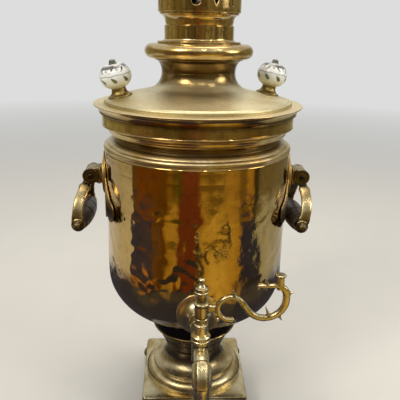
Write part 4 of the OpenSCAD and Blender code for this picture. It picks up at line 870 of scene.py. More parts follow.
# ---- fire drum ----
class SAMOVAR_OT_fire_drum(bpy.types.Operator):
    """Builds the ash bowl, the vented drum and the bright bead"""

    bl_idname = "samovar.fire_drum"
    bl_label = "Build Fire Drum"

    def execute(self, context):
        z, top, _ = span("drum_bowl")
        step = z + 8.4
        outer = [(33, z), (35.3, step - 1.2), (36.5, step - 1.2), (36.5, step)] + arc(29.6, top, 12, 12, -42, 0)
        inner = arc(29.6, top, 10.4, 10.4, 0, -42) + [(33.7, step), (31.4, z + 2.6)]
        place_piece(turned("ash_bowl", [(0, z)] + outer + inner + [(0, z + 2.6)]), "drum_bowl", "dark_bronze")

        z, top, r = span("vent_drum")
        holes = []
        for k in range(12):
            u = r * math.radians(13.5 + 30 * k)
            turns = np.radians(np.linspace(-28, 208, 16))
            head = [(u + 2.5 * math.cos(a), z + 13.75 + 2.5 * math.sin(a)) for a in turns]
            holes.append(head + [(u - 1.4, z + 7.75), (u + 1.4, z + 7.75)])
        wall = rolled_wall("drum_wall", 0, z, top, r, 96, 8, holes, 0.35, 3)
        rims = [
            turned("drum_rim", [(39.4, z), (r - 1, z), (r - 1, z + WALL), (39.4, z + WALL)]),
            turned("drum_lip", [(41.6, top - WALL), (r - 1, top - WALL), (r - 1, top), (41.6, top)]),
        ]
        place_piece(merge_objects("vented_drum", [wall] + rims), "vent_drum", "dark_bronze")

        z, top, r = span("drum_bead_ring")
        bead = [(r - 0.95, z)] + arc(r - 0.9, z + 0.9, 0.9, 0.9, -90, 90, 8) + [(r - 0.95, top)]
        place_piece(turned("bright_bead", bead, 0.05), "drum_bead_ring", "bright_brass")
        return {"FINISHED"}


# ---- urn ----
def urn_waves(depth, width):
    """How far the wall is pushed in at each place: smooth near the shoulder, wavy and dented lower down."""

    def shift(r, a, z):
        if r < 60:
            return 0.0
        p = Vector((r * math.cos(a), r * math.sin(a), z * 0.8))
        fade = min(1.0, max(0.0, (284 - z) / 60)) * min(1.0, max(0.0, (z - 112) / 20))
        fade = 0.12 + 0.88 * fade * fade * (3 - 2 * fade)
        broad = noise.noise(p / (width * 3.2)) * 1.3
        lumps = noise.noise(p / width + Vector((7.1, 0, 3.3))) * 0.42
        small = noise.noise(p / (width * 0.42) + Vector((1.7, 5.0, 0))) * 0.12
        patch = max(0.0, noise.noise(p / 52 + Vector((3.0, 9.0, 1.0)))) * 1.6
        level = broad + lumps * (0.35 + patch) + small * patch
        near = min(1.0, min(z - 110, 285 - z) / 3) if 110 <= z <= 285 else 0.0
        return -depth * max(0.0, 0.75 - level) * fade * max(0.0, near)

    return shift


class SAMOVAR_OT_urn(bpy.types.Operator):
    """Builds the urn's shell, shoulder, band and top ring"""

    bl_idname = "samovar.urn"
    bl_label = "Build Urn"

    def execute(self, context):
        sizes = context.scene.samovar_sizes
        z, top, r = span("body_shell")
        belly = z + BELLY_H
        outer = arc(BELLY_R, belly, r - BELLY_R, BELLY_H, -90, 0, 60)
        outer = outer + [(r, belly + (top - belly) * i / 96) for i in range(1, 97)]
        inner = [(r - WALL, top)] + arc(BELLY_R, belly, r - BELLY_R - WALL, BELLY_H - WALL, 0, -90, 24)
        shift = urn_waves(sizes.dent_depth / MM, sizes.dent_width / MM)
        outline = [(35, z)] + outer + inner + [(35, z + WALL)]
        shell = new_object("urn_shell", *ring_mesh(fill_steps(outline, 8), 384, shift))
        bore(shell, 4, 0, 12, 48, towards_tap(-84, Z_TAP))
        place_piece(shell, "body_shell", "body_brass")

        z, top, _ = span("body_shoulder")
        outer = (
            [(r, z), (r, z + 0.5)]
            + arc(r - 2.5, z + 3.35, 3.35, 3.1, -40, 62, 16)
            + arc(r - 10, z + 4, 8.6, 6.5, 24, 84, 18)
            + [(r - 10, top - 2), (r - 10, top)]
        )
        inner = [(r - 11.6, top), (r - 11.6, top - 3.6)] + arc(r - 10, z + 1.6, 8.4, 7.3, 84, 0, 8) + [(r - WALL, z)]
        place_piece(turned("beaded_shoulder", outer + inner, 0.25), "body_shoulder", "shoulder_brass")

        z, top, r = span("neck_band")
        turn = top - 11.5
        low = 82
        middle = ((low + r) / 2, z + 6.5)
        outer = (
            [(low, z), (low, z + 0.6)]
            + arc(low + 0.1, z + 1.5, 1.1, 0.9, -88, 80, 8)
            + arc(low + 0.4, z + 8.2, middle[0] - low - 0.4, 5.4, -90, -12, 10)
            + arc(r + 0.2, middle[1] + 0.6, r - middle[0], 5.0, 176, 112, 10)
            + [(r - 1.6, turn - 0.9)]
            + arc(r - 1.0, turn, 1.0, 0.9, -90, 80, 8)
            + [(r - 0.45, turn + 1.5), (r - 0.45, top - 1.6)]
            + arc(r - 0.9, top - 0.8, 0.9, 0.75, -80, 80, 6)
            + [(r - 1, top)]
        )
        inner = [
            (r - WALL - 0.2, top), (r - WALL - 0.2, turn + WALL), (middle[0] - 1, middle[1] + 2),
            (low - WALL, z + 2.4), (low - WALL, z),
        ]
        place_piece(turned("ogee_band", outer + inner, 0.2), "neck_band", "band_brass")

        z, top, r = span("top_ring")
        outer = (
            [(92.5, z), (96.3, z)]
            + arc(r, z, r - 96.3, 7, 170, 100, 14)
            + [(r - 0.5, top - 1.1)]
            + arc(r - 0.75, top - 0.62, 0.75, 0.62, -80, 88, 8)
            + [(80, top), (80, top - WALL), (92.5, top - WALL)]
        )
        place_piece(turned("top_rim", outer, 0.2), "top_ring", "rim_brass")
        return {"FINISHED"}


# ---- lid ----
LID_TURN = 12.0  # degrees by which the knobs stand turned out of the line of the handles
LID_SLOPE_DEG = 12.2
LID_SLOPE = math.radians(LID_SLOPE_DEG)
LID_EDGE = 90.4
VENT_R = 63  # how far the steam vent stands from the axis
Z_RING = span("top_ring")[1]


def lid_height(r):
    """Height of the lid's cone at a radius."""
    return Z_RING + 3.5 + (LID_EDGE - r) * math.tan(LID_SLOPE)


def on_lid(turn, distance, height):
    """Place of a piece that stands square on the lid's cone."""
    return Matrix.Rotation(math.radians(turn), 4, "Z") @ at_mm(distance, 0, height) @ Matrix.Rotation(LID_SLOPE, 4, "Y")


KNOBS = {"left": (LID_TURN + 180, 75.5), "right": (LID_TURN, 72.0)}


class SAMOVAR_OT_lid(bpy.types.Operator):
    """Builds the lid, its neck and collar, and the steam vent"""

    bl_idname = "samovar.lid"
    bl_label = "Build Lid"

    def execute(self, context):
        z, waist, r = span("lid_dome")
        sweep = (NECK_R + 17, waist)
        outer = (
            [(r - 0.1, z), (r, z + 1.0)]
            + arc(r - 1.5, z + 2.0, 1.5, 1.6, 0, 96, 10)
            + [(r - 2.6, lid_height(r - 2.6) - 0.55), (r - 3.6, lid_height(r - 3.6))]
            + arc(*sweep, 17, 17, 270 - LID_SLOPE_DEG, 180, 32)
        )
        inner = arc(*sweep, 18.6, 18.6, 180, 270 - LID_SLOPE_DEG, 16) + [(89.4, lid_height(89.4) - 1.65), (89.4, z)]
        dome = turned("lid_cone", outer + inner, 0.25, longest=5)
        to_vent = Matrix.Rotation(math.radians(LID_TURN + 90), 4, "Z")
        bore(dome, 3.2, 0, 40, 40, to_vent @ at_mm(VENT_R, 0, z))
        place_piece(dome, "lid_dome", "dusty_brass")

        z, top, _ = span("lid_neck")
        torus = z + 12.8 + 6.5
        cove = 11.4
        outer = (
            [(NECK_R, z)]
            + arc(42.2, z, 42.2 - NECK_R, cove, 180, 104, 20)
            + [(41.6, z + 11.3), (42.4, z + 11.7), (42.4, z + 12.8), (43.2, z + 13.1)]
            + arc(45.2, torus, 6.5, 6.5, -100, 90, 36)
            + [(43.5, torus + 6.5)]
            + [(39.6, torus + 6.6), (39.6, top - 0.2), (39.3, top)]
        )
        inner = (
            [(31.3, top), (31.3, torus + 4.9)]
            + [(45.2, torus + 4.9)]
            + arc(45.2, torus, 4.9, 4.9, 90, -90, 16)
            + [(34, z + 14.4), (34, z)]
        )
        place_piece(turned("lid_neck_turned", outer + inner, 0.2), "lid_neck", "neck_brass")

        z, top, _ = span("lid_collar")
        outer = [(31.3, z), (35.3, z), (35.3, z + 0.5)] + arc(35.3, z + 2.7, 2.4, 2.2, 260, 180, 8)
        outer += [(32.9, top - 0.6), (32.3, top), (31.3, top)]
        place_piece(turned("lid_collar_turned", outer, 0.2), "lid_collar", "bright_brass")

        stand = to_vent @ at_mm(VENT_R, 0, 0)
        top = span("steam_seat")[1]
        cone = lid_height(VENT_R)
        seat = [(3.2, cone - 2.2), (8.4, cone - 1.9), (8.4, cone + 1.4), (6.4, cone + 2.6), (6.4, top), (3.2, top)]
        place_piece(turned("steam_seat_turned", seat, 0.3, turns=64, matrix=stand), "steam_seat", "bright_brass")
        top = span("steam_cap")[1]
        low = top - 13.4
        cap = [
            (0, low), (2.7, low), (3.1, low + 0.6), (3.1, low + 4), (7.6, low + 4), (7.6, low + 5.2), (6, low + 6.6),
            (1.8, low + 7.6), (1.8, low + 9), (3.4, low + 10.6), (3.4, low + 12), (2, top), (0, top),
        ]
        place_piece(turned("steam_cap_turned", cap, 0.5, turns=64, matrix=stand), "steam_cap", "bright_brass")
        return {"FINISHED"}


# ---- porcelain knobs ----
KNOB_R = 11.5  # radius of the knob's rounded side


def paint_knob(made, line, spin):
    """Marks where the brush went: hoops round the nut, a black ring with curved strokes, a thin vine and its leaves."""
    mesh = made.data
    count = len(mesh.vertices)
    co = np.zeros(count * 3, np.float32)
    mesh.vertices.foreach_get("co", co)
    p = co.reshape(-1, 3) / MM
    r = np.hypot(p[:, 0], p[:, 1])
    a = np.arctan2(p[:, 1], p[:, 0]) - math.radians(spin)
    along = KNOB_R * np.arctan2(p[:, 2] - KNOB_FLAT, np.maximum(r - 3.5, 0.01))
    ink, leaf, wash = np.zeros(count), np.zeros(count), np.zeros(count)

    def stroke(distance, width):
        return np.clip((width / 2 - np.abs(distance)) / 0.22 + 0.5, 0, 1)

    top = p[:, 2] > KNOB_FLAT
    ink = np.maximum(ink, stroke(along - 10.1, 3.8 * line))
    wash = np.maximum(wash, np.maximum(stroke(along - 12.9, 0.9), stroke(r - 4.4, 0.9)) * top)
    wash = np.maximum(wash, stroke(along - 1.4 - 0.35 * np.sin(8 * a), 0.6))
    for k in range(8):
        x = ((a - k * math.pi / 4 + math.pi) % (2 * math.pi) - math.pi) * np.maximum(r, 1)
        t = np.clip((10.0 - along) / 6.0, 0, 1)
        sign = 1 if k % 3 else -1
        bend = sign * (1.8 * np.sin(math.pi * t) - 2.4 * t) - 1.5
        reach = (along < 10.2) & (along > 4.0)
        ink = np.maximum(ink, stroke(x - bend, line * (2.7 - 1.6 * t)) * reach)
        curl = np.hypot(x - 4.4, along - 7.2)
        ink = np.maximum(ink, stroke(curl - 1.2, line * 0.75) * (x < 5.2))
        u = (x + 0.6) * math.cos(0.82) - (along + 2.8) * math.sin(0.82)
        v = (x + 0.6) * math.sin(0.82) + (along + 2.8) * math.cos(0.82)
        blade = 1.9 * np.sqrt(np.clip(1 - (u / 3.5) ** 2, 0, 1)) * (0.8 + 0.11 * u)
        leaf = np.maximum(leaf, np.clip((blade - np.abs(v)) / 0.25, 0, 1) * (np.abs(u) < 3.5))
        ink = np.maximum(ink, stroke(np.abs(v) - blade, 0.45) * (np.abs(u) < 3.45) * 0.6)
    for name, values in (("ink", ink), ("leaf", leaf * (1 - ink)), ("wash", wash)):
        layer = mesh.attributes.new(name, "FLOAT", "POINT")
        layer.data.foreach_set("value", values.astype(np.float32))


class SAMOVAR_OT_knobs(bpy.types.Operator):
    """Builds the two painted porcelain knobs with their brass bases and iron nuts"""

    bl_idname = "samovar.knobs"
    bl_label = "Build Lid Knobs"

    def execute(self, context):
        line = context.scene.samovar_sizes.brush_line / MM
        flat = KNOB_FLAT
        for side, (turn, distance) in KNOBS.items():
            place = on_lid(turn, distance, lid_height(distance))
            base = [(0, 0.02), (12.2, 0.02), (11.6, 0.7), (11.4, 1.3)]
            base += arc(11.5, 7.2, 4.7, 5.8, 262, 184, 14) + [(6.8, 7.6), (6.8, 8.2), (0, 8.2)]
            base = [(min(r, 11.6), z) for r, z in base]
            foot = turned("knob_foot_" + side, base, 0.25, turns=96, matrix=place)
            place_piece(foot, "knob_base_" + side, "foot_brass", 1)

            start = math.degrees(math.asin(flat / KNOB_R))
            ball = [(0, 0)] + arc(3.5, flat, KNOB_R, KNOB_R, -start, start, 120) + [(0, 2 * flat)]
            knob = turned("porcelain_knob_" + side, ball, 0.5, longest=0.5, turns=288)
            paint_knob(knob, line, 33 if side == "left" else 7)
            knob.matrix_world = place @ Matrix.Translation((0, 0, 8.2 * MM))
            place_piece(knob, "knob_" + side, "porcelain")

            nut = [(0, 0), (3.8, 0), (3.8, 0.7), (3.1, 1.1), (3.0, 2.5)] + arc(0, 2.5, 3.0, 1.7, 6, 90, 12)
            on_top = place @ Matrix.Translation((0, 0, (8.2 + 2 * flat) * MM))
            place_piece(turned("knob_cap_nut_" + side, nut, 0.4, turns=48, matrix=on_top), "knob_nut_" + side, "iron")
        return {"FINISHED"}


# ---- crown ----
def pierced_loops(first, r, z):
    """The pierced holes of the crown: three groups of a drop, a trefoil and a narrow drop."""
    loops = []
    for group in range(3):
        for kind in range(3):
            u0 = r * math.radians(first + 120 * group + 27 * kind)
            half = 4.3 if kind < 2 else 2.365
            if kind == 0:
                pts = arc(0, 2 + half, half, half, 160, 380, 20) + [(0, 24)]
            elif kind == 1:
                lobe = half * 0.66
                pts = [(0, 2), (half * 0.75, 8.5)] + arc(half * 0.5, 11.2, lobe, lobe, -60, 75, 9)
                pts += [(half * 0.42, 16.5)] + arc(0, 19.7, half * 0.8, half * 0.8, -50, 230, 16)
                pts += [(-half * 0.42, 16.5)] + arc(-half * 0.5, 11.2, lobe, lobe, 105, 240, 9) + [(-half * 0.75, 8.5)]
            else:
                pts = [(-half * 0.3, 2), (half * 0.3, 2)] + arc(0, 24 - half, half, half, -20, 200, 16)
            loops.append([(u0 + x, z + 3 + y) for x, y in pts])
    return loops


class SAMOVAR_OT_crown(bpy.types.Operator):
    """Builds the crown and the cap on the chimney"""

    bl_idname = "samovar.crown"
    bl_label = "Build Crown"

    def execute(self, context):
        z = span("lid_collar")[1]
        top = span("crown_cup")[1]
        foot, shell = 31.6, 37.2
        h = top - z
        outer = [(foot, z), (foot + 0.1, z + 0.5), (foot + 0.8, z + h * 0.3)]
        outer += arc(shell, z + h * 0.3, shell - foot - 0.8, h * 0.52, 176, 98, 14)
        outer += [(shell, z + h * 0.84), (shell, top)]
        inner = [(shell - WALL, top), (shell - WALL, top - WALL), (foot - 1, z + h * 0.45), (foot - WALL, z + WALL)]
        inner += [(28.4, z + WALL), (28.4, z - 5), (30.9, z - 5), (30.9, z)]
        place_piece(turned("crown_cup_turned", outer + inner, 0.25), "crown_cup", "crown_brass")

        z, top, r = span("crown_gallery")
        length = 2 * math.pi * r
        loops = []
        for loop in pierced_loops(-6.8, r, z):
            # Holes before the seam are counted on from its far side
            move = length if sum(p[0] for p in loop) / len(loop) < 10 else 0
            loops.append(fill_steps([(u + move, v) for u, v in loop], 0.9))
        wall = rolled_wall("gallery_wall", r * math.radians(10), z, top, r, 120, 14, loops, 0.4, 2.4)
        flange = turned("gallery_foot", [(35.6, z), (r - 1, z), (r - 1, z + 3), (35.6, z + 2)])
        place_piece(merge_objects("pierced_gallery", [wall, flange]), "crown_gallery", "crown_brass")

        z, top, r = span("crown_rim")
        middle = r - 1.4
        rim = arc(middle, (z + top) / 2, 1.4, 1.12, 0, 345, 23)
        place_piece(turned("rolled_rim", rim, 0.0), "crown_rim", "crown_brass")

        z, top, r = span("chimney_cap")
        cap_z = z + 5
        plug = 22.6
        cap = [(0, cap_z - 0.4), (plug - WALL, cap_z - 0.4), (plug - WALL, z), (plug, z)]
        cap += [(plug, cap_z), (r, cap_z), (r, cap_z + 1.8), (0, top)]
        place_piece(turned("chimney_cap_turned", cap, 0.4), "chimney_cap", "dull_brass")
        z, top, _ = span("chimney_cap_knob")
        h = top - z
        knob = [(0, z), (3.4, z), (2.6, z + h * 0.3)] + arc(0, z + h * 0.64, h * 0.36, h * 0.36, -40, 90, 16)
        place_piece(turned("chimney_cap_grip", knob, 0.3, turns=64), "chimney_cap_knob", "wood")
        return {"FINISHED"}


# ---- tap ----
KEY_UP, KEY_H = 14, 15.5  # how far the key stands over the barrel, and the height of its collar


def scroll_path(*pieces):
    """Joins arcs and points of the key's scroll into one smooth path in the X-Z plane."""
    flat = [p for piece in pieces for p in piece]
    path = [flat[0]]
    for p in flat[1:]:
        if math.dist(p, path[-1]) > 0.25:
            path.append(p)
    return [(x, 0.0, z) for x, z in fill_steps(path, 0.8, closed=False)]


def around(centre, r, degree):
    """The place at a radius and an angle round a centre."""
    a = math.radians(degree)
    return centre[0] + r * math.cos(a), centre[1] + r * math.sin(a)


def make_rosette():
    """The flare between the urn and the barrel."""
    r = span("tap_rosette")[2]
    rosette = [(7.55, -10), (r - 4, -10), (r, -9.8), (r, 3.0), (r - 0.3, 3.9)]
    rosette += arc(r - 0.5, 14.8, r - 9, 10.6, 268, 184, 24) + [(8.9, 15.2), (8.9, 16.4), (8.5, 17), (7.55, 17)]
    made = turned("tap_flare", rosette, 0.3, longest=2, turns=144, matrix=towards_tap(-89, Z_TAP))
    # Its back is pressed to the urn's wall, which turns in below belly
    belly = 155
    for vertex in made.data.vertices:
        x, y, z = (c / MM for c in vertex.co)
        below = math.sqrt(max(0.0, 1 - ((belly - z) / BELLY_H) ** 2)) if z < belly else 1
        seat = -math.sqrt(max(0.0, (BELLY_R + (URN_R + 0.05 - BELLY_R) * below) ** 2 - x * x))
        if y > seat:
            vertex.co.y = seat * MM
    tidy(made)
    place_piece(made, "tap_rosette", "flare_brass", 1)


def make_barrel(low, top, stand):
    """The barrel with the plug's housing and the start of the spout, bored for the plug and the water."""
    house = [
        (0, low), (6.2, low), (7.4, low + 1.2), (7.4, top - 8), (8, top - 7.4), (8, top - 4.6), (7.4, top - 4),
        (7.4, top - 3), (8, top - 2.6), (8, top - 1), (7.2, top), (0, top),
    ]
    housing = turned("housing", house, 0.35, turns=96, matrix=stand)
    barrel = [(0, 0), (7.5, 0), (7.5, 30), (8.1, 31), (8.1, 33), (7.5, 34), (7.5, 54.2), (0, 54.2)]
    barrel = turned("barrel", barrel, 0.3, turns=96, matrix=along_y(0, PLUG_Y, Z_TAP))
    pipe = [(0, -1.3), (6.3, -1.3), (6.3, 13), (0, 13)]
    pipe = turned("pipe", pipe, 0.0, turns=96, matrix=towards_tap(PLUG_Y, Z_TAP))
    shape_with(housing, barrel, "UNION")
    shape_with(housing, pipe, "UNION")
    taper = [(0, low - 0.1), (4.85, low - 0.1), (5.65, top + 0.1), (0, top + 0.1)]
    shape_with(housing, turned("taper", taper, 0, turns=96, matrix=stand), "DIFFERENCE")
    bore(housing, 4, 0, 80, 48, along_y(0, -159.5, Z_TAP))
    housing.name = "tap_barrel"
    crisp(housing)
    place_piece(housing, "tap_body", "tap_brass", 1)


def make_spout(grain):
    """The bent spout with its thick sleeve and its rib, cast as one and bored."""
    bend, mouth = 17.0, Z_TAP - 17 - 18
    corner = (-159.0, Z_TAP - bend)

    def bend_point(degree, out=0.0):
        """A place on the bend, counted from the upright end."""
        t = math.radians(degree)
        return (0, corner[0] - (bend + out) * math.cos(t), corner[1] + (bend + out) * math.sin(t))

    def thick_at(degree):
        """Radius of the bend: slim at its ends, with a thick sleeve between."""
        return 6.3 + 1.6 * min(1.0, max(0.0, (degree - 9) / 2.5)) * min(1.0, max(0.0, (66 - degree) / 3))

    angles = [90, 86, 80, 74] + list(np.linspace(69, 62, 15)) + list(np.linspace(60, 14, 24))
    angles += list(np.linspace(12.5, 8, 12)) + [4, 0]
    path = [bend_point(d) for d in angles]
    radii = [thick_at(d) for d in angles]
    path += [(0, corner[0] - bend, corner[1] - z) for z in (5, 10, 14.6, 15.0, 15.4, 16.0, 17.6, 18.0)]
    radii += [6.3, 6.3, 6.3, 6.5, 6.9, 7.1, 7.1, 6.9]
    spout = bar("spout_tube", path, radii, radii, (1, 0, 0), 64, 2.0, caps=False)
    spine = [bend_point(d, 7.2) for d in np.linspace(12, 60, 40)]
    rib = bar("spout_rib", spine, 4.2, 1.75, (1, 0, 0), 48, 7.0, caps=False)
    spout = cast_together("tap_bend", [spout, rib], grain, 6)
    core = [(0, corner[0] + 1, Z_TAP)] + [bend_point(d) for d in np.linspace(90, 0, 24)]
    core = bar("core", core + [(0, corner[0] - bend, mouth - 2)], 4.0, 4.0, (1, 0, 0), 32, 2.0, caps=False)
    shape_with(spout, core, "DIFFERENCE")
    place_piece(spout, "tap_spout", "tap_brass", 6)


def make_plug(low, top, z_finial, stand):
    """The tapered plug with its cross hole and its shank."""
    plug = [
        (0, low - 1), (4.3, low - 1), (4.8, low), (5.6, top), (5.6, top + 0.4), (5.3, top + 7), (5.9, top + 8),
        (5.9, top + 9.4), (4.7, top + 10.4), (4.7, top + 12.4), (5.6, top + 14), (3.2, top + 14), (3.2, z_finial),
        (2.2, z_finial), (2.2, z_finial + 10.5), (0, z_finial + 10.5),
    ]
    made = turned("tapered_plug", plug, 0.3, turns=96, matrix=stand)
    bore(made, 3.4, -12, 12, 40, at_mm(0, PLUG_Y, Z_TAP) @ Matrix.Rotation(math.pi / 2, 4, "Y"))
    place_piece(made, "tap_plug", "tap_brass", 1)


def make_finial(z, stand):
    """The turned finial, from the height z up."""
    h, r = 21.0, 5.9
    finial = [(0, z), (r - 0.7, z), (r - 1.4, z + 1.6), (r - 1.8, z + 3.4), (r - 1.8, z + h * 0.34)]
    finial += [(r - 0.6, z + h * 0.38)] + arc(r - 0.9, z + h * 0.43, 0.9, 0.9, -70, 80, 6)
    finial += arc(r + 3.4, z + h * 0.47 + 9.6, 7.6, 7.6, 240, 186, 12)
    finial += [(1.9, z + h - 3.2)] + arc(0.9, z + h - 1.5, 2.0, 1.5, -50, 90, 10) + [(0, z + h)]
    made = turned("tap_finial_turned", finial, 0.3, turns=96, matrix=stand)
    place_piece(made, "tap_finial", "tap_brass", 1)


class SAMOVAR_OT_tap(bpy.types.Operator):
    """Builds the tap: rosette, barrel, spout, plug and finial"""

    bl_idname = "samovar.tap"
    bl_label = "Build Tap"

    def execute(self, context):
        low, top = Z_TAP - 12, Z_TAP + 14
        z_finial = top + KEY_UP + KEY_H
        stand = at_mm(0, PLUG_Y, 0)
        make_rosette()
        make_barrel(low, top, stand)
        make_spout(context.scene.samovar_sizes.cast_grain * 0.8)
        make_plug(low, top, z_finial, stand)
        make_finial(z_finial, stand)
        return {"FINISHED"}


class SAMOVAR_OT_key(bpy.types.Operator):
    """Builds the scrolled key of the tap as one casting"""

    bl_idname = "samovar.key"
    bl_label = "Build Tap Key"

    def execute(self, context):
        grain = context.scene.samovar_sizes.cast_grain * 0.8
        t = 2.5  # half the depth of the scroll
        # Centres (x, z) and radii of the three arcs that the strap follows
        curl, bow, hook = (23.7, 9.2), (51.2, 17.6), (58.9, 20.6)
        curl_r, bow_r, hook_r = 10.4, 17.0, 9.3
        across, rise = bow[0] - curl[0], bow[1] - curl[1]
        link = math.degrees(math.atan2(rise, across) - math.asin((curl_r + bow_r) / math.hypot(across, rise)))
        main = scroll_path(
            arc(*curl, curl_r, curl_r, 277, link + 90, 60),
            arc(*bow, bow_r, bow_r, link + 270, 360, 60),
            arc(*hook, hook_r, hook_r, 0, 88, 20),
            [(hook[0] - 4, hook[1] + hook_r), (hook[0] - 13.4, hook[1] + hook_r)],
        )
        n = len(main)
        places, swell = [0, 0.16, 0.3, 0.42, 0.6, 0.72, 0.82, 0.88, 1], [2.1, 2.0, 2.1, 2.6, 2.4, 2.9, 3.0, 1.9, 1.4]
        parts = [bar("strap", main, t, np.interp(np.linspace(0, 1, n), places, swell), (0, 1, 0), 24, 2.8)]

        def thorn(start, end, size):
            steps = 7
            way = (end[0] - start[0], end[1] - start[1])
            line = [(start[0] + way[0] * k / steps, 0, start[1] + way[1] * k / steps) for k in range(steps + 1)]
            taper = [size / 2 * (1 - 0.9 * (k / steps) ** 0.55) for k in range(steps + 1)]
            depth = [t * (1 - 0.6 * k / steps) for k in range(steps + 1)]
            parts.append(bar("thorn", line, taper, depth, (-way[1], 0, way[0]), 16, 2.2))

        branch = hook[1] + hook_r
        thorn((hook[0] - 7.0, branch), (hook[0] - 8.1, branch + 6.5), 6)
        thorn((hook[0] - 7.5, branch), (hook[0] - 7.5, branch - 4.8), 5)
        thorn((curl[0] + 2.6, curl[1] + curl_r), (curl[0] + 1.4, curl[1] + curl_r + 6.6), 6.2)
        for a, b, reach, size in ((284, 275, -10.5, 6), (310, 307, 7, 6.5)):
            thorn(around(bow, bow_r, a), around(bow, bow_r + reach, b), size)
        thorn((hook[0] + hook_r - 0.6, hook[1] + 1.4), (hook[0] + hook_r + 5.4, hook[1] + 3.6), 6.8)
        post = [(hook[0] + hook_r - 5.4, 0, hook[1] + hook_r * 0.62 + k * 1.33) for k in range(10)]
        parts.append(bar("post", post, [3.1 - 0.06 * k for k in range(10)], 2.5, (1, 0, 0), 20, 3.0, caps=False))
        disc = [(0, 0), (4.1, 0), (4.5, 0.4), (4.5, 1.2), (4.1, 1.6), (0, 1.6)]
        parts.append(turned("thumb", disc, 0.2, turns=48, matrix=at_mm(post[0][0] - 0.2, 0, hook[1] + 17.4)))
        for a in (222, 262):
            cx, cz = around(curl, 13.6, a)
            bead = [(cx, y, cz) for y in np.linspace(-0.9, 0.9, 5)]
            parts.append(bar("bead", bead, 2.0, 2.0, (1, 0, 0), 16, 2.0))
        stub = [(3 + k * 1.4, 0, 9.2) for k in range(9)]
        widths = [3.8, 3.7, 3.5, 3.2, 3.1, 3.1, 3.4, 3.8, 4.2]
        parts.append(bar("stub", stub, widths, 2.0, (0, 0, 1), 20, 3.0, caps=False))
        collar = [(0, 0), (6.2, 0), (6.2, 1.4), (5.5, 2), (5.5, 12.5), (6.2, 13.3), (6.2, 14.7), (5.2, 15.5), (0, 15.5)]
        parts.append(turned("collar", collar, 0.2, turns=96))
        place = at_mm(0, PLUG_Y, Z_TAP + 14 + KEY_UP)
        made = cast_together("scroll_key", parts, grain, 3)
        made.data.transform(place)
        bore(made, 3.25, -1, 17, 48, place)
        place_piece(made, "tap_key", "key_brass", 4)
        return {"FINISHED"}


# ---- handles ----
DROP = 43.0  # from the pin down to the grip
LEAN = {-1: 13.0, 1: -math.degrees(math.asin(3.0 / DROP))}  # degrees that each handle hangs out by, left and right
GRIP_END = 34.7  # where the arms stand along the grip, from its middle


def on_handle(s):
    """Place of a handle's piece, made hanging under its pin with +X away from the urn."""
    lean = Matrix.Rotation(math.radians(-s * LEAN[s]), 4, "Y")
    return at_mm(s * PIN_X, 0, Z_PIN) @ lean @ Matrix.Diagonal((s, 1, 1, 1))


def shield_loop():
    """Scalloped outline of a handle's shield, seen from its side of the urn, around the pin."""
    lobe, top, wide, low = 11.0, 12.0, 50.0, -30.0
    bumps = [circle_loop(0, 13, top, 48), circle_loop(0, 2, 23, 72)]
    bumps += [circle_loop(x, low + 2, lobe, 48) for x in (lobe - wide, wide - lobe)]
    bumps += [circle_loop(x, low, lobe * 0.95, 48) for x in (-lobe * 1.7, lobe * 1.7)]
    side = [(top, 25 - top), (wide - lobe * 0.4, low + lobe * 0.6), (wide - lobe, low)]
    bumps.append([(-x, z) for x, z in side] + side[::-1])
    # The outline is the furthest place inside any of these, looked for inwards from outside in each direction
    points = []
    for k in range(240):
        a = 2 * math.pi * k / 240
        reach = 75.0
        while not any(inside((math.cos(a) * reach, -8 + math.sin(a) * reach), loop) for loop in bumps):
            reach -= 0.25
        points.append((math.cos(a) * reach, -8 + math.sin(a) * reach))
    return fill_steps(points, 2.0)


def make_shield(s, side, loop):
    """The cast shield with its flared boss, bent round the urn. s is -1 on the left and 1 on the right."""
    face = URN_R + WALL

    def wrap(u, v, d):
        a = u / face
        return (s * (face - d) * math.cos(a), (face - d) * math.sin(a), Z_PIN + v)

    flat = plate("shield_plate", loop, [], 1.5, 0.6, 2.6, wrap)
    dome = [(0, 0.5), (20, 0.5), (20, 3.4 + WALL)] + arc(20, 8, 9.6, 3.2, 262, 186, 16)
    dome += [(10.2, 8), (0, 8)]
    turn = at_mm(s * (URN_R - 3), 0, Z_PIN) @ Matrix.Rotation(s * math.pi / 2, 4, "Y")
    boss = turned("shield_boss", dome, 0.4, longest=2.5, turns=96, matrix=turn)
    for vertex in boss.data.vertices:
        y = vertex.co.y / MM
        seat = math.sqrt(URN_R**2 - y * y) + 0.1
        if s * vertex.co.x / MM < seat:
            vertex.co.x = s * seat * MM
    made = merge_objects("shield_cast_" + side, [flat, boss])
    tidy(made)
    place_piece(made, "shield_" + side, "green_bronze", 3)


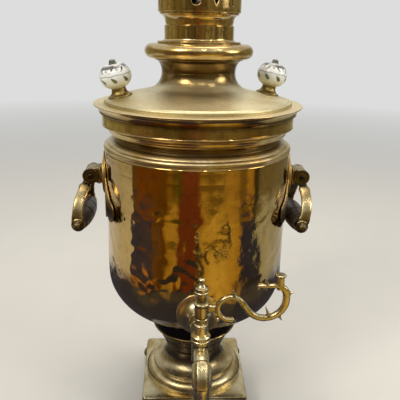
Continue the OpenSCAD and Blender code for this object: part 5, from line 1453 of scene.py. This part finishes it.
def make_bracket(s, side):
    """The tongue on its two bands, and the pin through it."""
    x0 = URN_R + 5
    tongue = [(x0 + 0.3, -7.6)] + arc(PIN_X, 0, 7.6, 7.6, -90, 90, 28) + [(x0 + 0.3, 7.6)]
    tongue = [(s * x, z) for x, z in tongue]
    block = plate("tongue", fill_steps(tongue, 2.5), [], 19, 0.8, 3, lambda u, v, d: (u, d - 9.5, Z_PIN + v))
    for x, half in ((x0 + 0.6, 10.4), (x0 + 2.4, 9.7)):
        edge = fill_steps(soften([(-half, -8.3), (half, -8.3), (half, 8.3), (-half, 8.3)], 1.2), 2.5)
        band = plate("band", edge, [], 1.2, 0.35, 3, lambda u, v, d: (s * (x + 0.6 - d), u, Z_PIN + v))
        shape_with(block, band, "UNION")
    on_pin = along_y(s * PIN_X, 0, Z_PIN)
    bore(block, PIN_R + 0.05, -12, 12, 48, on_pin)
    block.name = "handle_tongue_" + side
    place_piece(block, "handle_bracket_" + side, "block_bronze", 1)

    pin = [(0, -14.4)] + arc(0, -13.4, PIN_R, 1.0, -80, 0, 6) + arc(0, 13.4, PIN_R, 1.0, 0, 80, 6) + [(0, 14.4)]
    rivet = turned("handle_rivet_" + side, pin, 0.1, turns=48, matrix=on_pin)
    place_piece(rivet, "handle_pin_" + side, "dark_bronze")


def make_arm(hang, f, end, side, grain):
    """One bowed arm with its eye and its boss. f is -1 in front and 1 behind."""
    arm_in, arm_t = 9.8, 3.4
    eye = [(0, 0), (7.6, 0), (8, 0.4), (8, arm_t - 0.9), (7.5, arm_t - 0.4), (5.4, arm_t - 0.4)]
    eye += [(5.1, arm_t), (4.5, arm_t), (4.2, arm_t - 0.4), (0, arm_t - 0.4)]
    eye = turned("eye", eye, 0.2, turns=72, matrix=along_y(0, arm_in, 0))
    side_r = 36.36
    yc = 38 - side_r
    # Seen from the side the strap is an arc of radius side_r, seen from the front one that bows out by 3.6 mm
    bow = 3.6
    front_r = (DROP * DROP / 4 + bow**2) / (2 * bow)
    steps = 44
    path, widths, thicks = [], [], []
    for i, a in enumerate(np.radians(np.linspace(77, -3, steps))):
        y, z = yc + side_r * math.cos(a), -DROP + side_r * math.sin(a)
        x = bow - front_r + math.sqrt(front_r**2 - (z + DROP / 2) ** 2)
        path.append((x, y, z))
        t = i / (steps - 1)
        # The strap swells and narrows along its way
        waves = ((-1.0, 0.06, 0.06), (0.7, 0.17, 0.05), (0.7, 0.84, 0.05), (-1.1, 0.96, 0.06))
        widths.append(5.2 + sum(size * math.exp(-((t - at) / reach) ** 2) for size, at, reach in waves))
        thicks.append(1.7 + 0.25 * math.exp(-((t - 0.5) / 0.3) ** 2))
    strap = bar("strap", path, widths, thicks, (1, 0, 0), 24, 3.2, caps=False)
    boss = [(0, 0), (6.2, 0), (6.6, 0.5), (6.6, 4.6), (6.0, 5.3), (5.2, 5.6), (0, 5.6)]
    boss = turned("boss", boss, 0.3, turns=64, matrix=along_y(0, GRIP_END, -DROP))
    made = cast_together("arm_cast_%s_%s" % (end, side), [eye, strap, boss], grain, 3)
    for hole_r, y, z in ((PIN_R + 0.05, 5, 0), (2.05, 30, -DROP)):
        bore(made, hole_r, 0, 14, 40, along_y(0, y, z))
    made.data.transform(hang @ Matrix.Diagonal((1, f, 1, 1)))
    tidy(made)
    place_piece(made, "arm_%s_%s" % (end, side), "arm_brass", 4)


def make_grip(hang, side):
    """The turned grip, and the domed caps on the ends of its rod."""
    half = GRIP_END - 0.2
    ends = [(2.05, 0), (6.0, 0), (6.4, 0.4), (6.4, 1.6), (5.9, 2.0), (7.0, 2.4)]
    ends = [(r, y - half) for r, y in ends]
    grip = list(ends)
    for k in range(121):
        y = -half + 3.0 + (2 * half - 6.0) * k / 120
        groove = sum(math.exp(-(((abs(y) - at) / 0.45) ** 2)) for at in (9.5, 12, 22.5, 25))
        grip.append((7.2 + 3.8 * (1 - (y / half) ** 2) - 0.7 * groove, y))
    grip += [(r, -y) for r, y in ends[::-1]]
    low = hang @ along_y(0, 0, -DROP)
    place_piece(turned("turned_grip_" + side, grip, 0.3, turns=96, matrix=low), "grip_" + side, "wood")

    caps = []
    for f in (-1, 1):
        cap = [(0, 2.7), (2.05, 2.7), (2.05, 0), (5.0, 0), (5.0, 0.8)]
        cap += arc(0, 0.8, 4.6, 4.6, 8, 88, 14) + [(0, 5.4)]
        place = hang @ Matrix.Diagonal((1, f, 1, 1)) @ along_y(0, 40.3, -DROP)
        caps.append(turned("cap", cap, 0.25, turns=64, matrix=place))
    place_piece(merge_objects("domed_caps_" + side, caps), "rod_caps_" + side, "cap_bronze", 1)


class SAMOVAR_OT_handles(bpy.types.Operator):
    """Builds the shields, brackets, arms, grips and caps of the two handles"""

    bl_idname = "samovar.handles"
    bl_label = "Build Handles"

    def execute(self, context):
        grain = context.scene.samovar_sizes.cast_grain
        loop = shield_loop()
        for s, side in ((-1, "left"), (1, "right")):
            hang = on_handle(s)
            make_shield(s, side, loop)
            make_bracket(s, side)
            for f, end in ((-1, "front"), (1, "rear")):
                make_arm(hang, f, end, side, grain)
            make_grip(hang, side)
        return {"FINISHED"}


class SAMOVAR_OT_inner_pieces(bpy.types.Operator):
    """Finishes the pieces that keep the frame's own shape"""

    bl_idname = "samovar.inner_pieces"
    bl_label = "Finish Inner Pieces"

    def execute(self, context):
        for node in ("fire_tube", "lid_ring"):
            dress_node(node, "dull_brass")
        dress_node("fire_grate", "iron")
        dress_node("knob_under_nuts", "iron")
        for side in ("left", "right"):
            dress_node("knob_stud_" + side, "iron")
            dress_node("grip_rod_" + side, "iron")
        return {"FINISHED"}


# ---- stage ----
def room_flags():
    """Warm dark flags before the urn, shown in its metal alone as a studio's flags and boards are: glowing painted
    reflections.
    """
    shade, side_r, board_r, end_r = 0.385, 1.15, 3.0, 3.05  # radii in metres where one flag ends and the next starts
    flat, wall_flat = 0.001, 0.0006
    left, right, back = -83, 77, 150  # degrees round from the front, to the right
    steps = 60
    verts, faces = [], []
    for radii, height, standing, low, high in (
        ((0.083, 0.14, 0.24, shade), flat, (), -180, 180),
        ((shade, shade + 0.022), flat, (), -100, left),
        ((shade, 0.6, 0.9, 1.8, board_r), flat, (0.24,), left, right),
        ((shade, 0.7, side_r), flat, (), right, back),
        ((side_r, 1.8, board_r), wall_flat, (0.25, 0.6, 1.1, 1.7), -back, back),
    ):
        rings = [(r, height) for r in radii] + [(end_r, z) for z in standing]
        first, row = len(verts), steps + 1
        for r, z in rings:
            angles = [math.radians(low + (high - low) * k / steps) for k in range(row)]
            verts += [(r * math.sin(a), -r * math.cos(a), z) for a in angles]
        for i in range(len(rings) - 1):
            for k in range(first + i * row, first + i * row + steps):
                faces.append((k, k + 1, k + row + 1, k + row))
    mesh = bpy.data.meshes.new("room_flags")
    mesh.from_pydata(verts, [], faces)
    flags = linked("room_flags", mesh)
    flags.visible_camera = flags.visible_diffuse = flags.visible_shadow = flags.visible_transmission = False

    node, place = new_finish("Painted flags")
    front = node("Math", node("SeparateXYZ", place, out="Y"), -1.0, operation="MULTIPLY")
    turn = node("Math", node("SeparateXYZ", place, out="X"), front, operation="ARCTAN2")
    away = node("VectorMath", place, operation="LENGTH")

    def band(*stops):
        """Colours across the flags, by the angle in degrees."""
        low, high = stops[0][0], stops[-1][0]
        across = node("MapRange", turn, math.radians(low), math.radians(high))
        return node("ValToRGB", across, stops=[((angle - low) / (high - low), shade) for angle, shade in stops])

    near = band(
        (left, "#48466c"), (-56, "#4f4858"), (-49, "#7a5528"), (-38, "#6a4818"), (-34, "#c49a3a"), (-24, "#d8b050"),
        (-21, "#84452a"), (-1, "#84452a"), (3, "#d8b04c"), (22, "#f0cb66"), (47, "#cda440"), (51, "#404064"),
        (right - 1, "#444664"), (right, "#c4c7c0"), (back, "#c4c7c0"),
    )
    far = band(
        (left, "#6a5a34"), (-70, "#86500c"), (-45, "#80500a"), (-30, "#6a5014"), (-20, "#5f5a1c"), (-16, "#84472a"),
        (-1, "#80462a"), (3, "#846628"), (28, "#8c7434"), (32, "#c09a4a"), (46, "#c09a4a"), (50, "#917430"),
        (56, "#94752e"), (59, "#d0a44a"), (66, "#c89c44"), (69, "#4c4128"), (73, "#4c4430"), (right, "#857d62"),
    )
    high = band(
        (-back, "#a39a74"), (-98, "#8d8052"), (-86, "#7d6b3c"), (-58, "#6c5a2e"), (-40, "#4a3f20"), (-8, "#4d3c1c"),
        (-4, "#704426"), (8, "#6c4224"), (12, "#5f5230"), (44, "#6e6340"), (60, "#5a4a22"), (90, "#50482c"),
        (106, "#7f7656"), (back, "#a39b7c"),
    )
    streaks = cloud(node, place, 330, detail=2, stretch=(1, 1, 0.02))
    high = node("Mix", node("MapRange", streaks, 0.52, 0.56, 0.0, 0.6), high, "#a3956a")
    high = node("Mix", node("MapRange", streaks, 0.44, 0.41, 0.0, 0.7), high, "#30260f")
    level = node("Math", cloud(node, place, 180, detail=2), 0.5, away, operation="MULTIPLY_ADD")
    tint = node("Mix", node("MapRange", level, 1.0, 1.25), near, far)
    tint = node("Mix", node("MapRange", away, 1.2, 1.5), tint, high)
    # Painted reflection: an orange glow is painted along the left edge of the dark ring next to the urn
    crumbs_and_glints = cloud(node, place, 30, distortion=0.5)
    ragged = node("Math", crumbs_and_glints, 0.05, away, operation="MULTIPLY_ADD")
    glow = node("Mix", node("MapRange", crumbs_and_glints, 0.42, 0.58), "#e0a040", "#a8641c")
    lit = node("MapRange", turn, math.radians(-42), math.radians(-48))
    edge = node("MapRange", ragged, shade + 0.062, shade + 0.055)
    tint = node("Mix", node("Math", lit, edge, operation="MULTIPLY"), tint, glow)
    # The dark ring's radius in metres, by the angle in degrees
    radii = ((-180, shade), (-30, shade), (-22, 0.43), (-3, 0.43), (5, 0.33), (48, 0.33), (54, 0.37), (180, 0.37))
    reach = node("MapRange", turn, math.radians(-180), math.radians(180))
    reach = node("ValToRGB", reach, stops=[((angle + 180) / 360, (r, r, r, 1.0)) for angle, r in radii])
    beyond = node("Math", ragged, reach, operation="SUBTRACT")
    tint = node("Mix", node("MapRange", beyond, 0.03, 0.02), tint, "#403e48")
    node("OutputMaterial", node("Emission", tint, 1.0))
    mesh.materials.append(bpy.data.materials["Painted flags"])


def pale_ground():
    """A plain round floor that fades into the backdrop."""
    radii, count = (0.0, 0.3, 0.6, 1.2, 2.4, 5.0, 9.0), 64
    turns = [k * math.pi / 32 for k in range(count)]
    verts = [(r * math.cos(a), r * math.sin(a), 0.0) for r in radii for a in turns]
    faces = []
    for i in range(0, len(verts) - count, count):
        for k in range(count):
            n = (k + 1) % count
            faces.append((i + k, i + count + k, i + count + n, i + n))
    ground = new_object("ground", verts, faces)
    node, place = new_finish("Pale ground")
    grain = cloud(node, place, 60, detail=2)
    tint = node("Mix", node("MapRange", grain, 0.3, 0.7, 0.0, 0.12), "ground", "#cfd0d0")
    fade = node("MapRange", node("VectorMath", place, operation="LENGTH"), 0.7, 2.6)
    node("OutputMaterial", node("MixShader", fade, node("BsdfDiffuse", tint), node("Emission", "ground", 1.0)))
    ground.data.materials.append(bpy.data.materials["Pale ground"])


class SAMOVAR_OT_stage(bpy.types.Operator):
    """Sets the pale ground, the soft lights and the camera"""

    bl_idname = "samovar.stage"
    bl_label = "Set Stage"

    def execute(self, context):
        scene = context.scene
        pale_ground()
        scene.world = bpy.data.worlds.new("Studio")
        scene.world.use_nodes = True
        scene.world.node_tree.nodes.clear()
        node = partial(add_node, scene.world.node_tree)
        up = node("SeparateXYZ", node("TexCoord", out="Generated"), out="Z")
        sky = node("Mix", node("MapRange", up, -0.1, 0.9), "#d3d2cd", "#f1f0ec")
        # The camera, and rays through or off the pieces, see the plain backdrop. The rest is lit by the softer sky
        seen, through, mirrored = (node("LightPath", out="Is %s Ray" % s) for s in ("Camera", "Transmission", "Glossy"))
        plain = node("Math", node("Math", seen, through, operation="ADD"), mirrored, operation="ADD", use_clamp=True)
        node("OutputWorld", node("MixShader", plain, node("Background", sky, 0.5), node("Background", "ground", 1.0)))
        room_flags()

        for name, place, size, power in (
            ("Key softbox", (-0.9, -0.85, 1.25), 0.5, 9.0),
            ("Fill softbox", (1.15, -0.35, 0.75), 0.5, 4.5),
            ("Top softbox", (0.1, 0.35, 1.5), 0.9, 9.0),
            ("Lamp left", (-0.37, -0.76, 1.3), 0.07, 0.9),
            ("Lamp middle", (0.15, -0.84, 1.3), 0.07, 0.9),
            ("Lamp right", (0.63, -0.57, 1.3), 0.07, 0.9),
        ):
            light = bpy.data.lights.new(name, "AREA")
            light.shape, light.size, light.energy = "DISK", size, power
            light.color = linear("#fff3e2")[:3]
            lamp = linked(name, light)
            lamp.location = place
            lamp.rotation_mode = "QUATERNION"
            lamp.rotation_quaternion = (Vector((0, 0, 0.25)) - Vector(place)).to_track_quat("-Z", "Y")

        heading, pitch, roll = (math.radians(a) for a in (2.65, 18.4, 1.15))
        ahead = Vector((math.sin(heading) * math.cos(pitch), math.cos(heading) * math.cos(pitch), -math.sin(pitch)))
        right = Vector((math.cos(heading), -math.sin(heading), 0))
        up = right.cross(ahead)
        across = right * math.cos(roll) + up * math.sin(roll)
        high = -right * math.sin(roll) + up * math.cos(roll)
        view = bpy.data.cameras.new("View")
        view.lens, view.sensor_width = 46.35, 36.0
        view.clip_start, view.clip_end = 0.02, 50.0
        scene.camera = linked("View", view)
        stand = Matrix.Translation((-0.0197, -0.5103, 0.3985))
        scene.camera.matrix_world = stand @ Matrix((across, high, -ahead)).transposed().to_4x4()
        scene.view_settings.view_transform = "Standard"
        return {"FINISHED"}


STEPS = (
    SAMOVAR_OT_pedestal,
    SAMOVAR_OT_fire_drum,
    SAMOVAR_OT_urn,
    SAMOVAR_OT_lid,
    SAMOVAR_OT_knobs,
    SAMOVAR_OT_crown,
    SAMOVAR_OT_tap,
    SAMOVAR_OT_key,
    SAMOVAR_OT_handles,
    SAMOVAR_OT_inner_pieces,
    SAMOVAR_OT_stage,
)


class SAMOVAR_PT_panel(bpy.types.Panel):
    """Lists the samovar's pieces, sizes and colours"""

    bl_idname = "SAMOVAR_PT_panel"
    bl_label = "Samovar"
    bl_space_type = "VIEW_3D"
    bl_region_type = "UI"
    bl_category = "Samovar"

    def draw(self, context):
        for group in (context.scene.samovar_sizes, context.scene.samovar_colours):
            box = self.layout.box()
            for name in group.__annotations__:
                box.prop(group, name)
        for step in STEPS:
            self.layout.operator(step.bl_idname)


def register():
    for made in (SamovarSizes, SamovarColours, *STEPS, SAMOVAR_PT_panel):
        bpy.utils.register_class(made)
    bpy.types.Scene.samovar_sizes = bpy.props.PointerProperty(type=SamovarSizes)
    bpy.types.Scene.samovar_colours = bpy.props.PointerProperty(type=SamovarColours)


def unregister():
    del bpy.types.Scene.samovar_sizes
    del bpy.types.Scene.samovar_colours
    for made in (SAMOVAR_PT_panel, *reversed(STEPS), SamovarColours, SamovarSizes):
        bpy.utils.unregister_class(made)


def main():
    register()
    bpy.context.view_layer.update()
    for step in STEPS:
        family, name = step.bl_idname.split(".")
        getattr(getattr(bpy.ops, family), name)()
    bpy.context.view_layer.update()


if __name__ == "__main__":
    main()
